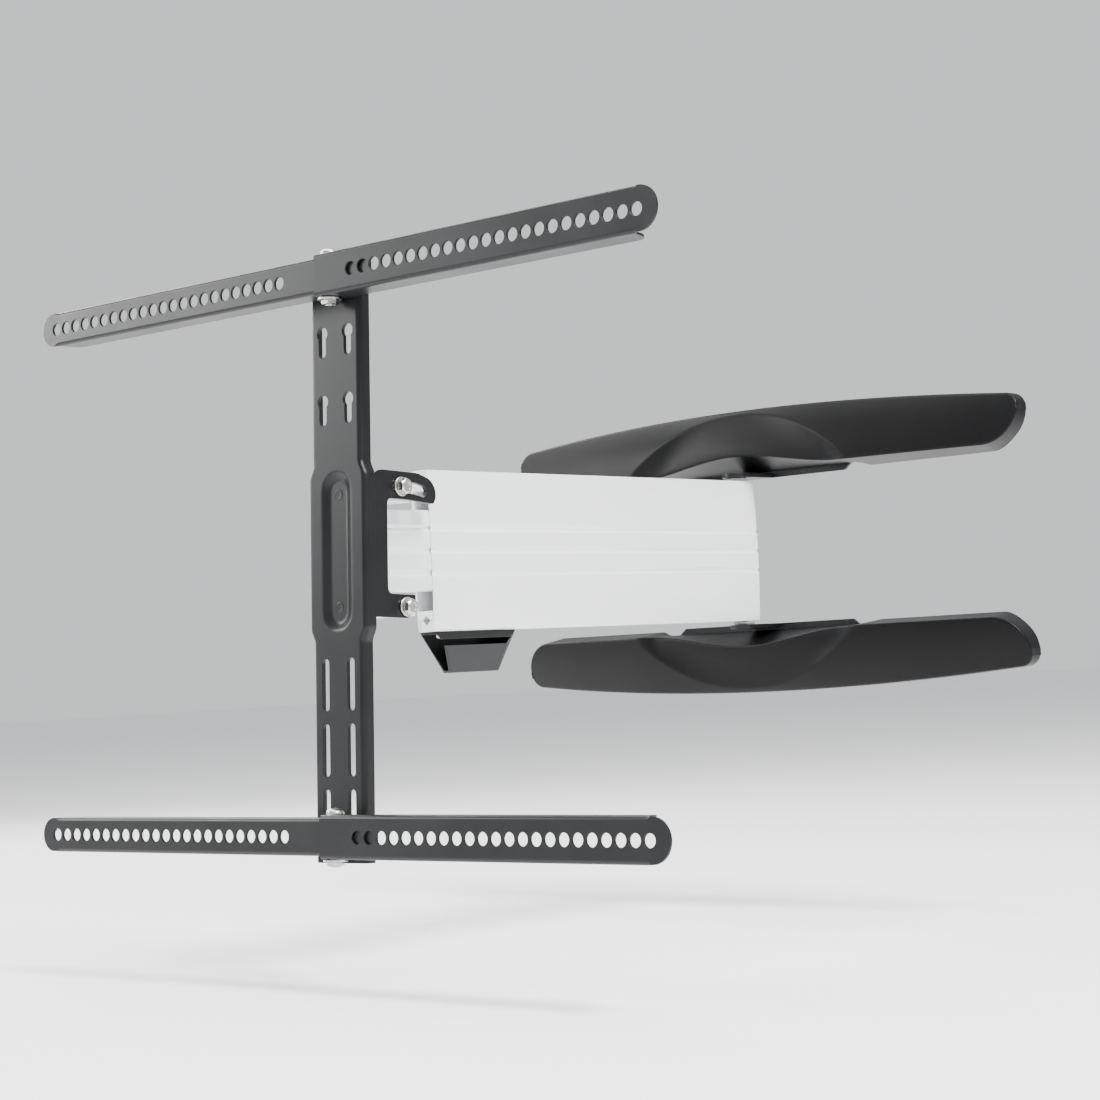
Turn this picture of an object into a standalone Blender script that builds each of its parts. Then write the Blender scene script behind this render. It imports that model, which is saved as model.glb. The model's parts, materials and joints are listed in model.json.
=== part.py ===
"""Full motion TV wall mount: wall brackets and covers, one arm, a swivel and tilt head, and a screen frame.

Written in millimetres and scaled to metres when a mesh is made. The wall is the plane y = 0, the room is
towards -y, x runs along the wall and z is up. Pieces are drawn with z = 0 at the arm's mid height and hang
from an empty that puts the part's origin on the back of the upper wall bracket.
"""
import bpy
import bmesh
from math import cos, sin, pi, radians

MM = 0.001
GAP = 0.3               # clearance between pieces that touch

# Reach of the mount
ORIGIN_RISE = 86.5      # the origin lies this far above the arm's mid height
WALL_AXIS = 36.0        # wall to the hinge shaft's axis
ARM_SPAN = 438.0        # hinge shaft to swivel pin
RAIL_REACH = 64.0       # swivel pin to the rails' front face
REST_TILT = 2.9         # the screen frame leans back by this many degrees at rest
TILT_UP = 5.0           # furthest the frame leans back from upright
TILT_DOWN = 12.0        # furthest it leans forward

# Arm
BEAM_HALF = 8.0         # half the beam's thickness
BEAM_RISE = 30.0        # half its height
BEAM_WALL = 2.2
BEAM_INSET = 14.0       # the beam starts this far from each axis
SHELL_RISE = 60.0       # half the outer shells' height
SHELL_EDGE = 8.2        # half thickness at the top and bottom edges
SHELL_MID = 10.4        # half thickness at mid height
SHELL_WALL = 1.8
SEAM_RISE = 51.7        # the two shells overlap at this height, above and below
SHELF = 7.0             # thickness of the left shell's shelves
PORT = 3.8              # half size of the diamond screw port on each seam
SHELL_PAST = 12.0       # shells run on past the hinge shaft
SHELL_SHORT = 47.0      # and stop this far short of the swivel pin
GROOVES = (-16.5, 0.0, 16.5)
GROOVE_DEPTH = 0.8
PIN_R = 4.0
BUSH_R = 5.4
BORE_R = BUSH_R + GAP
SHAFT_R = PIN_R + 2.0   # the hinge shaft's thicker ends
SCREW_R = 3.0           # hinge screws

# Cable clip, under the arm
CLIP_HALF = 10.0
CLIP_TOP = -SHELL_RISE - GAP
CLIP_DROP = 31.0
CLIP_SHEET = 2.0
CLIP_START = -388.5     # end towards the screen
CLIP_LONG = 84.5
CLIP_HEM = 5.7          # the flange's folded near edge
CLIP_MOUTH = 10.3       # the near wall starts this far down
CLIP_NARROW = 11.5      # the near wall leans in by this much
CLIP_SLANT = 0.82       # the ends slope back by this much for each millimetre down
CLIP_SCREW_X = 4.6
CLIP_SCREW_Y = CLIP_START + 8.0

# Wall brackets and covers
BRACKET_HALF = 215.0
BRACKET_LOW = 63.2      # nearest edge to the arm
BRACKET_INNER = 73.0    # nearest edge either side of the covers' dip
BRACKET_STEP = 90.0     # half the width of the part that shows in the dip
BRACKET_HIGH = 104.0
STEEL = 3.0
LUG = 4.0
LUG_HALF = 14.0
LUG_NOSE = 12.0
COUNTERBORE = 2.4       # the hinge screws' heads sink this far into the lugs
LUG_TOP = BRACKET_LOW + LUG
COVER_HALF = 267.0
COVER_TOP = 122.0
COVER_LIP = 69.0
COVER_DIP = 12.0        # the lip rises by this much over the hinge
COVER_DEEP = 46.0
COVER_WALL = 2.4
COVER_REAR = 68.6       # the dip's underside comes back to this height at the wall

# Swivel head
FORK_HALF = 22.5
FORK_GRIP = 34.0        # inner faces of the fork's arms, above and below the arm's middle

# Screen frame, in its own upright frame with the swivel pin at y = 0
TILT_Z = -42.0          # tilt axis below the arm's mid height
SLOT_R = 87.0           # tilt axis to the upper bolts
FORK_TOP = TILT_Z + SLOT_R + 9.0
FORK_FOOT = TILT_Z - 9.0
BOLT_R = 4.0
HEX_R = 5.8             # tilt bolts' heads, to the corners
TILT_RING = 7.0         # tilt washers' outer radius
CHEEK_IN = 23.0
CHEEK_OUT = 26.5
COLUMN_FRONT = -43.0
COLUMN_BACK = -33.0
COLUMN_HALF = 25.7
COLUMN_WIDE = 29.6
COLUMN_TOP = 208.0
COLUMN_FOOT = -224.0
COLUMN_STEEL = 2.5
RIVETS = (-42.5, 38.5)
PRESS_MID = -2.0        # middle of the stadium pressing
PRESS_HALF_LONG = 57.0
PRESS_HALF = 14.4
PRESS_DEPTH = 2.4
WEB_FRONT = COLUMN_FRONT + PRESS_DEPTH + COLUMN_STEEL + GAP
WEB_BACK = WEB_FRONT + 3.0
RAIL_MID = -5.0
RAIL_SPREAD = 400.0
RAIL_END = 317.0
RAIL_HALF = 15.5        # half the outer rail's height
RAIL_STEEL = 1.8
HOLES = 23
HOLE_FIRST = 38.2
HOLE_LAST = 300.0
HOLE_R = 4.7
SEAM = 1.0              # the outer half starts here
NEST = 56.0             # the inner half runs on to here, behind two holes
RAIL_BOLT = (6.0, -53.0)  # x and y of the upright bolts
RAIL_BOLT_R = 3.0
NUT_HIGH = 3.2

COLOURS = {
    "black_steel": ((0.045, 0.046, 0.048, 1.0), 0.45, 0.6),
    "black_plastic": ((0.022, 0.022, 0.023, 1.0), 0.6, 0.0),
    "silver_aluminium": ((0.78, 0.79, 0.80, 1.0), 0.35, 0.9),
    "zinc_steel": ((0.62, 0.62, 0.61, 1.0), 0.3, 1.0),
    "grey_nylon": ((0.25, 0.25, 0.26, 1.0), 0.55, 0.0),
}


def clear_scene():
    for obj in list(bpy.data.objects):
        bpy.data.objects.remove(obj, do_unlink=True)


def material(name):
    found = bpy.data.materials.get(name)
    if found:
        return found
    colour, roughness, metallic = COLOURS[name]
    made = bpy.data.materials.new(name)
    made.use_nodes = True
    shader = made.node_tree.nodes["Principled BSDF"]
    shader.inputs["Base Color"].default_value = colour
    shader.inputs["Roughness"].default_value = roughness
    shader.inputs["Metallic"].default_value = metallic
    made.diffuse_color = colour
    return made


def solid_from(bm, name):
    """Turn a bmesh in millimetres into an object in metres."""
    bmesh.ops.remove_doubles(bm, verts=bm.verts, dist=1e-4)
    bmesh.ops.recalc_face_normals(bm, faces=bm.faces)
    bmesh.ops.scale(bm, vec=(MM, MM, MM), verts=bm.verts)
    mesh = bpy.data.meshes.new(name)
    bm.to_mesh(mesh)
    bm.free()
    obj = bpy.data.objects.new(name, mesh)
    bpy.context.scene.collection.objects.link(obj)
    return obj


def along(axis, u, v, w):
    """A point at (u, v) in the plane across the axis and at w along it."""
    return {"x": (w, u, v), "y": (u, w, v), "z": (u, v, w)}[axis]


def prism(outline, axis, low, high, name="piece"):
    bm = bmesh.new()
    face = bm.faces.new([bm.verts.new(along(axis, u, v, low)) for u, v in outline])
    moved = bmesh.ops.extrude_face_region(bm, geom=[face])["geom"]
    tips = [item for item in moved if isinstance(item, bmesh.types.BMVert)]
    shift = along(axis, 0.0, 0.0, high - low)
    bmesh.ops.translate(bm, vec=shift, verts=tips)
    return solid_from(bm, name)


def block(low, high, name="piece"):
    outline = [(low[0], low[1]), (high[0], low[1]), (high[0], high[1]), (low[0], high[1])]
    return prism(outline, "z", low[2], high[2], name)


def arc(centre, radius, start, end, steps):
    """Points on a circle, angles in degrees."""
    angles = [radians(start + (end - start) * i / steps) for i in range(steps + 1)]
    return [(centre[0] + radius * cos(a), centre[1] + radius * sin(a)) for a in angles]


def circle(centre, radius, sides, turn=0.0):
    return arc(centre, radius, turn, turn + 360.0, sides)[:-1]


def rod(radius, axis, centre, low, high, sides=12, name="piece"):
    return prism(circle(centre, radius, sides, 180.0 / sides), axis, low, high, name)


def turned(profile, axis, centre, sides=20, name="piece"):
    """Spin a closed profile of (radius, height) points about a line along the axis."""
    bm = bmesh.new()
    rings = []
    for i in range(sides):
        angle = 2 * pi * i / sides
        rings.append([
            bm.verts.new(along(axis, centre[0] + r * cos(angle), centre[1] + r * sin(angle), h))
            for r, h in profile
        ])
    count = len(profile)
    for i in range(sides):
        near, far = rings[i], rings[(i + 1) % sides]
        for j in range(count):
            if profile[j][0] == 0.0 and profile[(j + 1) % count][0] == 0.0:
                continue
            bm.faces.new((near[j], near[(j + 1) % count], far[(j + 1) % count], far[j]))
    bmesh.ops.remove_doubles(bm, verts=bm.verts, dist=1e-4)
    bmesh.ops.dissolve_degenerate(bm, edges=bm.edges, dist=1e-4)
    return solid_from(bm, name)


def washer(inner, outer, axis, centre, low, high, name):
    return turned([(inner, low), (outer, low), (outer, high), (inner, high)], axis, centre, 14, name)


def combine(target, tool, operation):
    """Apply a Boolean with the tool and delete the tool."""
    modifier = target.modifiers.new("combine", "BOOLEAN")
    modifier.operation = operation
    modifier.object = tool
    depsgraph = bpy.context.evaluated_depsgraph_get()
    depsgraph.update()
    mesh = bpy.data.meshes.new_from_object(target.evaluated_get(depsgraph))
    target.modifiers.clear()
    target.data = mesh
    bpy.data.objects.remove(tool, do_unlink=True)
    return target


def join(tools):
    """One object from several that don't touch."""
    bm = bmesh.new()
    for tool in tools:
        bm.from_mesh(tool.data)
        bpy.data.objects.remove(tool, do_unlink=True)
    mesh = bpy.data.meshes.new("tools")
    bm.to_mesh(mesh)
    bm.free()
    obj = bpy.data.objects.new("tools", mesh)
    bpy.context.scene.collection.objects.link(obj)
    return obj


def cut(target, *tools):
    return combine(target, join(tools) if len(tools) > 1 else tools[0], "DIFFERENCE")


def add(target, *tools):
    for tool in tools:
        combine(target, tool, "UNION")
    return target


def hang(obj, name, finish, parent, offset=(0.0, 0.0, 0.0)):
    """Name a finished piece, give it its material and put it under its joint's empty."""
    obj.name = name
    obj.data.name = name
    obj.data.materials.clear()
    obj.data.materials.append(material(finish))
    obj.data.shade_smooth()
    obj.data.set_sharp_from_angle(angle=radians(32))
    obj.parent = parent
    obj.location = [value * MM for value in offset]
    return obj


def axis_empty(name, place, parent=None):
    empty = bpy.data.objects.new(name, None)
    bpy.context.scene.collection.objects.link(empty)
    empty.location = [value * MM for value in place]
    empty.parent = parent
    return empty


def hex_bolt(axis, centre, tip, seat, head, side):
    """A hexagon bolt along the axis: thread tip, underside of the head, head height."""
    top = seat + side * head
    shank = rod(BOLT_R, axis, centre, min(tip, seat + side), max(tip, seat + side), 14)
    cap = prism(circle(centre, HEX_R, 6, 30.0), axis, min(seat, top), max(seat, top))
    return add(cap, shank)


# ---------------------------------------------------------------- wall side

def wall_bracket(side, parent):
    """Steel plate behind a cover, with a hinge lug whose outer face is counterbored for the screw."""
    name = "wall_bracket_upper" if side > 0 else "wall_bracket_lower"
    right = [(BRACKET_STEP, BRACKET_LOW), (BRACKET_STEP + 12.0, BRACKET_INNER), (BRACKET_HALF, BRACKET_INNER),
             (BRACKET_HALF, BRACKET_HIGH)]
    outline = right + [(-x, z) for x, z in reversed(right)]
    plate = prism([(x, side * z) for x, z in outline], "y", -STEEL, 0.0)
    nose = arc((0.0, -WALL_AXIS), LUG_NOSE, 180.0, 360.0, 10)
    lug_outline = [(LUG_HALF, -1.0), (-LUG_HALF, -1.0)] + nose
    low, high = sorted((side * BRACKET_LOW, side * LUG_TOP))
    lug = prism(lug_outline, "z", low, high)
    add(plate, lug)
    slots = []
    for x in (-180.0, -100.0, 100.0, 180.0):
        middle = side * (BRACKET_LOW + BRACKET_HIGH) / 2
        outline = arc((x - 8.0, middle), 4.5, 90.0, 270.0, 6) + arc((x + 8.0, middle), 4.5, -90.0, 90.0, 6)
        slots.append(prism(outline, "y", -STEEL - 1.0, 1.0))
    cut(plate, *slots)
    centre = (0.0, -WALL_AXIS)
    head = 2.0 * SCREW_R + 2.0 * GAP
    for radius, start in ((SCREW_R + GAP, BRACKET_LOW - 2.0), (head, LUG_TOP - COUNTERBORE)):
        low, high = sorted((side * start, side * (LUG_TOP + 2.0)))
        cut(plate, rod(radius, "z", centre, low, high, 16))
    return hang(plate, name, "black_steel", parent)


def dip(x):
    """0 away from the hinge, 1 over it."""
    reach = 112.0
    return 0.5 + 0.5 * cos(pi * x / reach) if abs(x) < reach else 0.0


def cover_outer(x):
    return COVER_TOP - 13.0 * (x / COVER_HALF) ** 2


def cover_depth(x, z):
    """How far the cover's face stands off the wall at a point, z counted away from the arm."""
    lip = COVER_LIP + COVER_DIP * dip(x)
    rise = max(0.0, min(1.0, (z - lip) / (cover_outer(x) - lip)))
    depth = (COVER_DEEP - 26.0 * (x / COVER_HALF) ** 2) * (1.0 - 0.42 * rise ** 2)
    arch = 72.0 + 46.0 * (1.0 - min(1.0, abs(x) / 116.0) ** 2.2)
    inside = max(0.0, min(1.0, (arch - z) / 22.0)) * (1.0 if abs(x) < 116.0 else 0.0)
    return depth - 5.5 * inside * inside * (3.0 - 2.0 * inside)


def cover_edge():
    """The cover's front outline, counter-clockwise in (x, z), for the upper cover."""
    outer_r, inner_r = 12.0, 30.0
    end = COVER_HALF
    right_low = arc((end - inner_r, COVER_LIP + inner_r), inner_r, -90.0, 0.0, 4)
    right_top = arc((end - outer_r, cover_outer(end) - outer_r), outer_r, 0.0, 85.0, 3)
    top = [(x, cover_outer(x)) for x in (200.0, 140.0, 90.0, 45.0, 0.0)]
    bottom = [(x, COVER_LIP + COVER_DIP * dip(x)) for x in (0.0, 20.0, 40.0, 60.0, 80.0, 100.0, 130.0, 180.0)]
    right = bottom + right_low + right_top + top
    left = [(-x, z) for x, z in reversed(right) if x > 0.0]
    return right + left


def cover(side, parent):
    """Moulded shell: a skirt back to the wall and a crowned face with a scoop over the hinge."""
    edge = cover_edge()
    spine_half = COVER_HALF - 32.0
    bm = bmesh.new()
    back = []
    for x, z in edge:
        low = z < COVER_LIP + 14.0 and abs(x) < COVER_HALF - 24.0
        if low and abs(x) < 112.0:
            back.append((x, -STEEL - 1.4, COVER_REAR))
        else:
            back.append((x, -0.6, z - 4.0 if low else z))
    rings = [back]
    for share in (0.0, 0.3, 0.62):
        ring = []
        for x, z in edge:
            spine_x = max(-spine_half, min(spine_half, x))
            spine_z = 0.5 * (COVER_LIP + COVER_DIP * dip(spine_x) + cover_outer(spine_x))
            px, pz = x + share * (spine_x - x), z + share * (spine_z - z)
            ring.append((px, -cover_depth(px, pz), pz))
        rings.append(ring)
    verts = [[bm.verts.new((x, y, side * z)) for x, y, z in ring] for ring in rings]
    count = len(edge)
    for near, far in zip(verts, verts[1:]):
        for i in range(count):
            bm.faces.new((near[i], near[(i + 1) % count], far[(i + 1) % count], far[i]))
    inner = verts[-1]
    for i in range(count // 2):
        a, b = inner[i], inner[i + 1]
        c, d = inner[(count - i - 1) % count], inner[(count - i) % count]
        corners = [a, b, c, d]
        unique = [v for n, v in enumerate(corners) if v not in corners[:n]]
        if len(unique) > 2:
            bm.faces.new(unique)
    bmesh.ops.recalc_face_normals(bm, faces=bm.faces)
    if sum(face.normal.y * face.calc_area() for face in bm.faces) > 0.0:
        bmesh.ops.reverse_faces(bm, faces=bm.faces)
    bmesh.ops.scale(bm, vec=(MM, MM, MM), verts=bm.verts)
    mesh = bpy.data.meshes.new("cover")
    bm.to_mesh(mesh)
    bm.free()
    obj = bpy.data.objects.new("cover", mesh)
    bpy.context.scene.collection.objects.link(obj)
    shell = obj.modifiers.new("wall", "SOLIDIFY")
    shell.thickness = COVER_WALL * MM
    shell.offset = -1.0
    return hang(obj, "cover_upper" if side > 0 else "cover_lower", "black_plastic", parent)


def wall_hinge(parent):
    """Shaft clamped between the lugs, its two sunk screws and the rings the arm turns on."""
    centre = (0.0, -WALL_AXIS)
    reach = BRACKET_LOW - GAP
    shaft = rod(SHAFT_R, "z", centre, -reach, reach, 16)
    step = reach - 20.0
    neck = [(PIN_R, -step), (SHAFT_R + 1.0, -step), (SHAFT_R + 1.0, step), (PIN_R, step)]
    cut(shaft, turned(neck, "z", centre, 16))
    bore = SCREW_R + GAP
    thread = reach - 14.0
    cut(shaft, rod(bore, "z", centre, thread, reach + 1.0), rod(bore, "z", centre, -reach - 1.0, -thread))
    hang(shaft, "hinge_shaft", "zinc_steel", parent)
    seat = LUG_TOP - COUNTERBORE + GAP
    tip, head = reach - 12.0, 2.0 * SCREW_R
    for side, word in ((1, "upper"), (-1, "lower")):
        profile = [(0.0, tip), (SCREW_R, tip), (SCREW_R, seat), (head, seat), (head, LUG_TOP - 0.6),
                   (head - 0.6, LUG_TOP), (0.0, LUG_TOP)]
        screw = turned([(r, side * h) for r, h in profile], "z", centre, 16)
        hang(screw, "hinge_screw_" + word, "zinc_steel", parent)
        low, high = sorted((side * (SHELL_RISE + GAP), side * (BRACKET_LOW - GAP)))
        ring = washer(SHAFT_R + GAP, SHELL_EDGE + 0.8, "z", centre, low, high, "ring")
        hang(ring, "hinge_washer_" + word, "grey_nylon", parent)


# ---------------------------------------------------------------- arm, with the hinge shaft at y = 0

def grooved(outer, height):
    """Right-hand side of an outline from bottom to top, with the three grooves."""
    points = [(outer(-height), -height)]
    for z in GROOVES:
        points += [(outer(z), z - 1.2), (outer(z) - GROOVE_DEPTH, z), (outer(z), z + 1.2)]
    return points + [(outer(height), height)]


def beam(parent):
    low, high = -(ARM_SPAN - BEAM_INSET), -BEAM_INSET
    right = grooved(lambda z: BEAM_HALF, BEAM_RISE)
    outline = right + [(-x, z) for x, z in reversed(right)]
    bar = prism(outline, "y", low, high)
    inner_x, inner_z = BEAM_HALF - BEAM_WALL, BEAM_RISE - BEAM_WALL
    cut(bar, block((-inner_x, low - 1.0, -inner_z), (inner_x, high + 1.0, inner_z)))
    return hang(bar, "arm_beam", "silver_aluminium", parent)


def knuckle(centre_y, towards, name, parent):
    """Solid hinge end with a spigot in the beam; towards is +1 when the beam lies at larger y."""
    seat = centre_y + towards * (BEAM_INSET - GAP)
    tip = seat + towards * 28.0
    start = 0.0 if towards < 0 else 180.0
    nose = arc((0.0, centre_y), BEAM_HALF, start, start + 180.0, 10)
    outline = nose + [(nose[-1][0], seat), (nose[0][0], seat)]
    head = prism(outline, "z", -BEAM_RISE, BEAM_RISE)
    inner_x, inner_z = BEAM_HALF - BEAM_WALL - GAP, BEAM_RISE - BEAM_WALL - GAP
    low, high = sorted((seat - towards * 1.0, tip))
    add(head, block((-inner_x, low, -inner_z), (inner_x, high, inner_z)))
    cut(head, rod(BORE_R, "z", (0.0, centre_y), -BEAM_RISE - 1.0, BEAM_RISE + 1.0, 16))
    hang(head, name, "silver_aluminium", parent)
    bush = washer(PIN_R + GAP, BUSH_R, "z", (0.0, centre_y), -BEAM_RISE, BEAM_RISE, "bush")
    return hang(bush, name.replace("knuckle", "bush"), "grey_nylon", parent)


def shell_half(z):
    """Half thickness of the arm at a height."""
    return SHELL_EDGE + (SHELL_MID - SHELL_EDGE) * cos(pi / 2 * z / SHELL_RISE) ** 0.75


def shell_outline(right):
    """The right shell has a thick sill and head; the left one has a shelf inside each of them."""
    heights = [-SHELL_RISE, -50.0, -38.0, -27.0]
    outer = [(shell_half(z), z) for z in heights]
    for z in GROOVES:
        outer += [(shell_half(z), z - 1.2), (shell_half(z) - GROOVE_DEPTH, z), (shell_half(z), z + 1.2)]
    outer += [(shell_half(-z), -z) for z in reversed(heights)]
    side_in = BEAM_HALF + GAP
    inner = [(shell_half(38.0) - SHELL_WALL, 38.0), (side_in, 30.4), (side_in, -30.4),
             (shell_half(38.0) - SHELL_WALL, -38.0)]
    wall_in = SHELL_EDGE - SHELL_WALL
    if right:
        sill = SEAM_RISE + GAP / 2
        far = wall_in - GAP
        head = [(-far, SHELL_RISE), (-far, sill), (-PORT, sill), (0.0, sill + PORT), (PORT, sill),
                (wall_in, sill)]
    else:
        shelf = SEAM_RISE - GAP / 2
        head = [(wall_in, SHELL_RISE), (wall_in, shelf), (PORT, shelf), (0.0, shelf - PORT), (-PORT, shelf),
                (GAP - wall_in, shelf), (GAP - wall_in, shelf - SHELF), (wall_in, shelf - SHELF)]
    return outer + head + inner + [(x, -z) for x, z in reversed(head)]


def shell(side, parent):
    """One bowed skin of the arm, open at both ends."""
    low, high = -(ARM_SPAN - SHELL_SHORT), SHELL_PAST
    skin = prism([(side * x, z) for x, z in shell_outline(side > 0)], "y", low, high)
    reach = SHELL_RISE - SEAM_RISE + SHELF + 2.0
    for level in (-SHELL_RISE - 1.0, SHELL_RISE + 1.0 - reach):
        cut(skin, rod(SHAFT_R + GAP, "z", (0.0, 0.0), level, level + reach, 16))
    if side > 0:
        cut(skin, rod(2.3, "z", (CLIP_SCREW_X, CLIP_SCREW_Y), -SHELL_RISE - 1.0, CLIP_TOP + 6.0, 12))
    return hang(skin, "arm_shell_right" if side > 0 else "arm_shell_left", "silver_aluminium", parent)


def clip(parent):
    """Folded trough under the arm: a flange with a folded edge, a far wall and a leaning near wall."""
    top, sheet, half = CLIP_TOP, CLIP_SHEET, CLIP_HALF
    foot = top - CLIP_DROP
    hem, mouth = top - CLIP_HEM, top - CLIP_MOUTH
    toe = half - CLIP_NARROW
    outline = [(half, top), (-half, top), (-half, foot), (toe, foot), (half, mouth), (half - sheet, mouth),
               (toe - sheet, foot + sheet), (sheet - half, foot + sheet), (sheet - half, top - sheet),
               (half - sheet, top - sheet), (half - sheet, hem), (half, hem)]
    bm = bmesh.new()
    near, far = [], []
    for x, z in outline:
        fall = max(0.0, top - sheet - z)
        near.append(bm.verts.new((x, CLIP_START + CLIP_SLANT * fall, z)))
        far.append(bm.verts.new((x, CLIP_START + CLIP_LONG - min(1.5 * fall, 9.0), z)))
    count = len(outline)
    bm.faces.new(near)
    bm.faces.new(far)
    for i in range(count):
        bm.faces.new((near[i], near[(i + 1) % count], far[(i + 1) % count], far[i]))
    bmesh.ops.triangulate(bm, faces=bm.faces)
    hook = solid_from(bm, "clip")
    cut(hook, rod(2.3, "z", (CLIP_SCREW_X, CLIP_SCREW_Y), top - sheet - 1.0, top + 1.0, 12))
    hang(hook, "cable_clip", "black_steel", parent)
    seat = top - sheet - GAP
    profile = [(0.0, seat + 6.0), (2.0, seat + 6.0), (2.0, seat), (3.1, seat), (3.0, seat - 1.6),
               (2.2, seat - 2.4), (0.0, seat - 2.7)]
    screw = turned(profile, "z", (CLIP_SCREW_X, CLIP_SCREW_Y), 14)
    return hang(screw, "clip_screw", "zinc_steel", parent)


# ---------------------------------------------------------------- swivel head, with the swivel pin at y = 0

def fork(parent):
    """Block with two arms that take the arm's end and the pin, cross-drilled for the tilt bolts."""
    back, web, front = 13.0, -12.0, -20.0
    outline = [(front, FORK_FOOT), (back, FORK_FOOT), (back, -FORK_GRIP), (web, -FORK_GRIP), (web, FORK_GRIP),
               (back, FORK_GRIP), (back, FORK_TOP), (front, FORK_TOP)]
    body = prism(outline, "x", -FORK_HALF, FORK_HALF)
    cut(body, rod(PIN_R + GAP, "z", (0.0, 0.0), FORK_FOOT - 1.0, FORK_TOP + 1.0, 16))
    blind = 6.5
    for z in (TILT_Z, TILT_Z + SLOT_R):
        cut(body, rod(BOLT_R + GAP, "x", (0.0, z), blind, FORK_HALF + 1.0),
            rod(BOLT_R + GAP, "x", (0.0, z), -FORK_HALF - 1.0, -blind))
    return hang(body, "swivel_fork", "silver_aluminium", parent)


def swivel_pin(parent):
    top = FORK_TOP + GAP
    profile = [(0.0, FORK_FOOT), (PIN_R - 0.6, FORK_FOOT), (PIN_R, FORK_FOOT + 0.6), (PIN_R, top), (7.0, top),
               (7.0, top + 2.0), (6.2, top + 2.8), (0.0, top + 2.8)]
    hang(turned(profile, "z", (0.0, 0.0), 16), "swivel_pin", "zinc_steel", parent)
    for side, word in ((1, "upper"), (-1, "lower")):
        low, high = sorted((side * (BEAM_RISE + GAP), side * (FORK_GRIP - GAP)))
        ring = washer(PIN_R + GAP, BEAM_HALF, "z", (0.0, 0.0), low, high, "ring")
        hang(ring, "swivel_washer_" + word, "grey_nylon", parent)


def tilt_bolts(parent):
    for z, height in ((TILT_Z + SLOT_R, "upper"), (TILT_Z, "lower")):
        for side, word in ((1, "right"), (-1, "left")):
            plate = CHEEK_OUT + GAP
            low, high = sorted((side * plate, side * (plate + 1.6)))
            ring = washer(BOLT_R + GAP, TILT_RING, "x", (0.0, z), low, high, "ring")
            hang(ring, "tilt_washer_%s_%s" % (height, word), "zinc_steel", parent)
            seat = side * (plate + 1.6 + GAP)
            bolt = hex_bolt("x", (0.0, z), side * 7.0, seat, 5.5, side)
            hang(bolt, "tilt_bolt_%s_%s" % (height, word), "zinc_steel", parent)


# ---------------------------------------------------------------- screen frame, upright, swivel pin at y = 0

def tilt_bracket(parent, offset):
    """U-shaped steel: a web behind the column and two C-shaped cheeks for the tilt bolts."""
    edge = -18.0            # the cheeks' spine ends here, clear of the arm's swing
    outline = [(WEB_FRONT, -50.0), (2.0, -50.0), (9.5, -44.0), (9.5, -33.0), (edge + 4.0, -33.0),
               (edge, -29.0), (edge, 32.0), (edge + 4.0, 36.0), (4.0, 36.0), (30.0, 34.4), (31.5, 37.0),
               (31.5, 45.0), (27.0, 52.0), (16.0, 55.0), (WEB_FRONT + 10.0, 56.0), (WEB_FRONT, 46.0)]
    body = block((-CHEEK_IN - 1.0, WEB_FRONT, -48.0), (CHEEK_IN + 1.0, WEB_BACK, 45.0))
    for side in (-1, 1):
        low, high = sorted((side * CHEEK_IN, side * CHEEK_OUT))
        add(body, prism(outline, "x", low, high))
    pivot = (0.0, TILT_Z)
    half = BOLT_R + GAP
    first, last = 90.0 - TILT_DOWN - 0.3, 90.0 + TILT_UP + 0.3
    start = (SLOT_R * cos(radians(first)), TILT_Z + SLOT_R * sin(radians(first)))
    stop = (SLOT_R * cos(radians(last)), TILT_Z + SLOT_R * sin(radians(last)))
    slot = arc(pivot, SLOT_R + half, first, last, 6) + arc(stop, half, last, last + 180.0, 5)[1:-1]
    slot += arc(pivot, SLOT_R - half, last, first, 6)
    slot += arc(start, half, first + 180.0, first + 360.0, 5)[1:-1]
    for low, high in ((CHEEK_IN - 1.0, CHEEK_OUT + 1.0), (-CHEEK_OUT - 1.0, -CHEEK_IN + 1.0)):
        cut(body, prism(slot, "x", low, high), rod(half, "x", pivot, low, high))
    cut(body, *[rod(3.0 + GAP, "y", (0.0, z), WEB_FRONT - 1.0, WEB_BACK + 1.0, 12) for z in RIVETS])
    return hang(body, "tilt_bracket", "black_steel", parent, offset)


def stadium(half_wide, half_long, middle, steps=6):
    straight = half_long - half_wide
    top = arc((0.0, middle + straight), half_wide, 0.0, 180.0, steps)
    bottom = arc((0.0, middle - straight), half_wide, 180.0, 360.0, steps)
    return top + bottom


def column_outline(inset):
    half, wide = COLUMN_HALF - inset, COLUMN_WIDE - inset
    right = [(half, COLUMN_FOOT), (half, -66.0), (wide, -58.0), (wide, 52.0), (half, 60.0),
             (half, COLUMN_TOP)]
    return right + [(-x, z) for x, z in reversed(right)]


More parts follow.
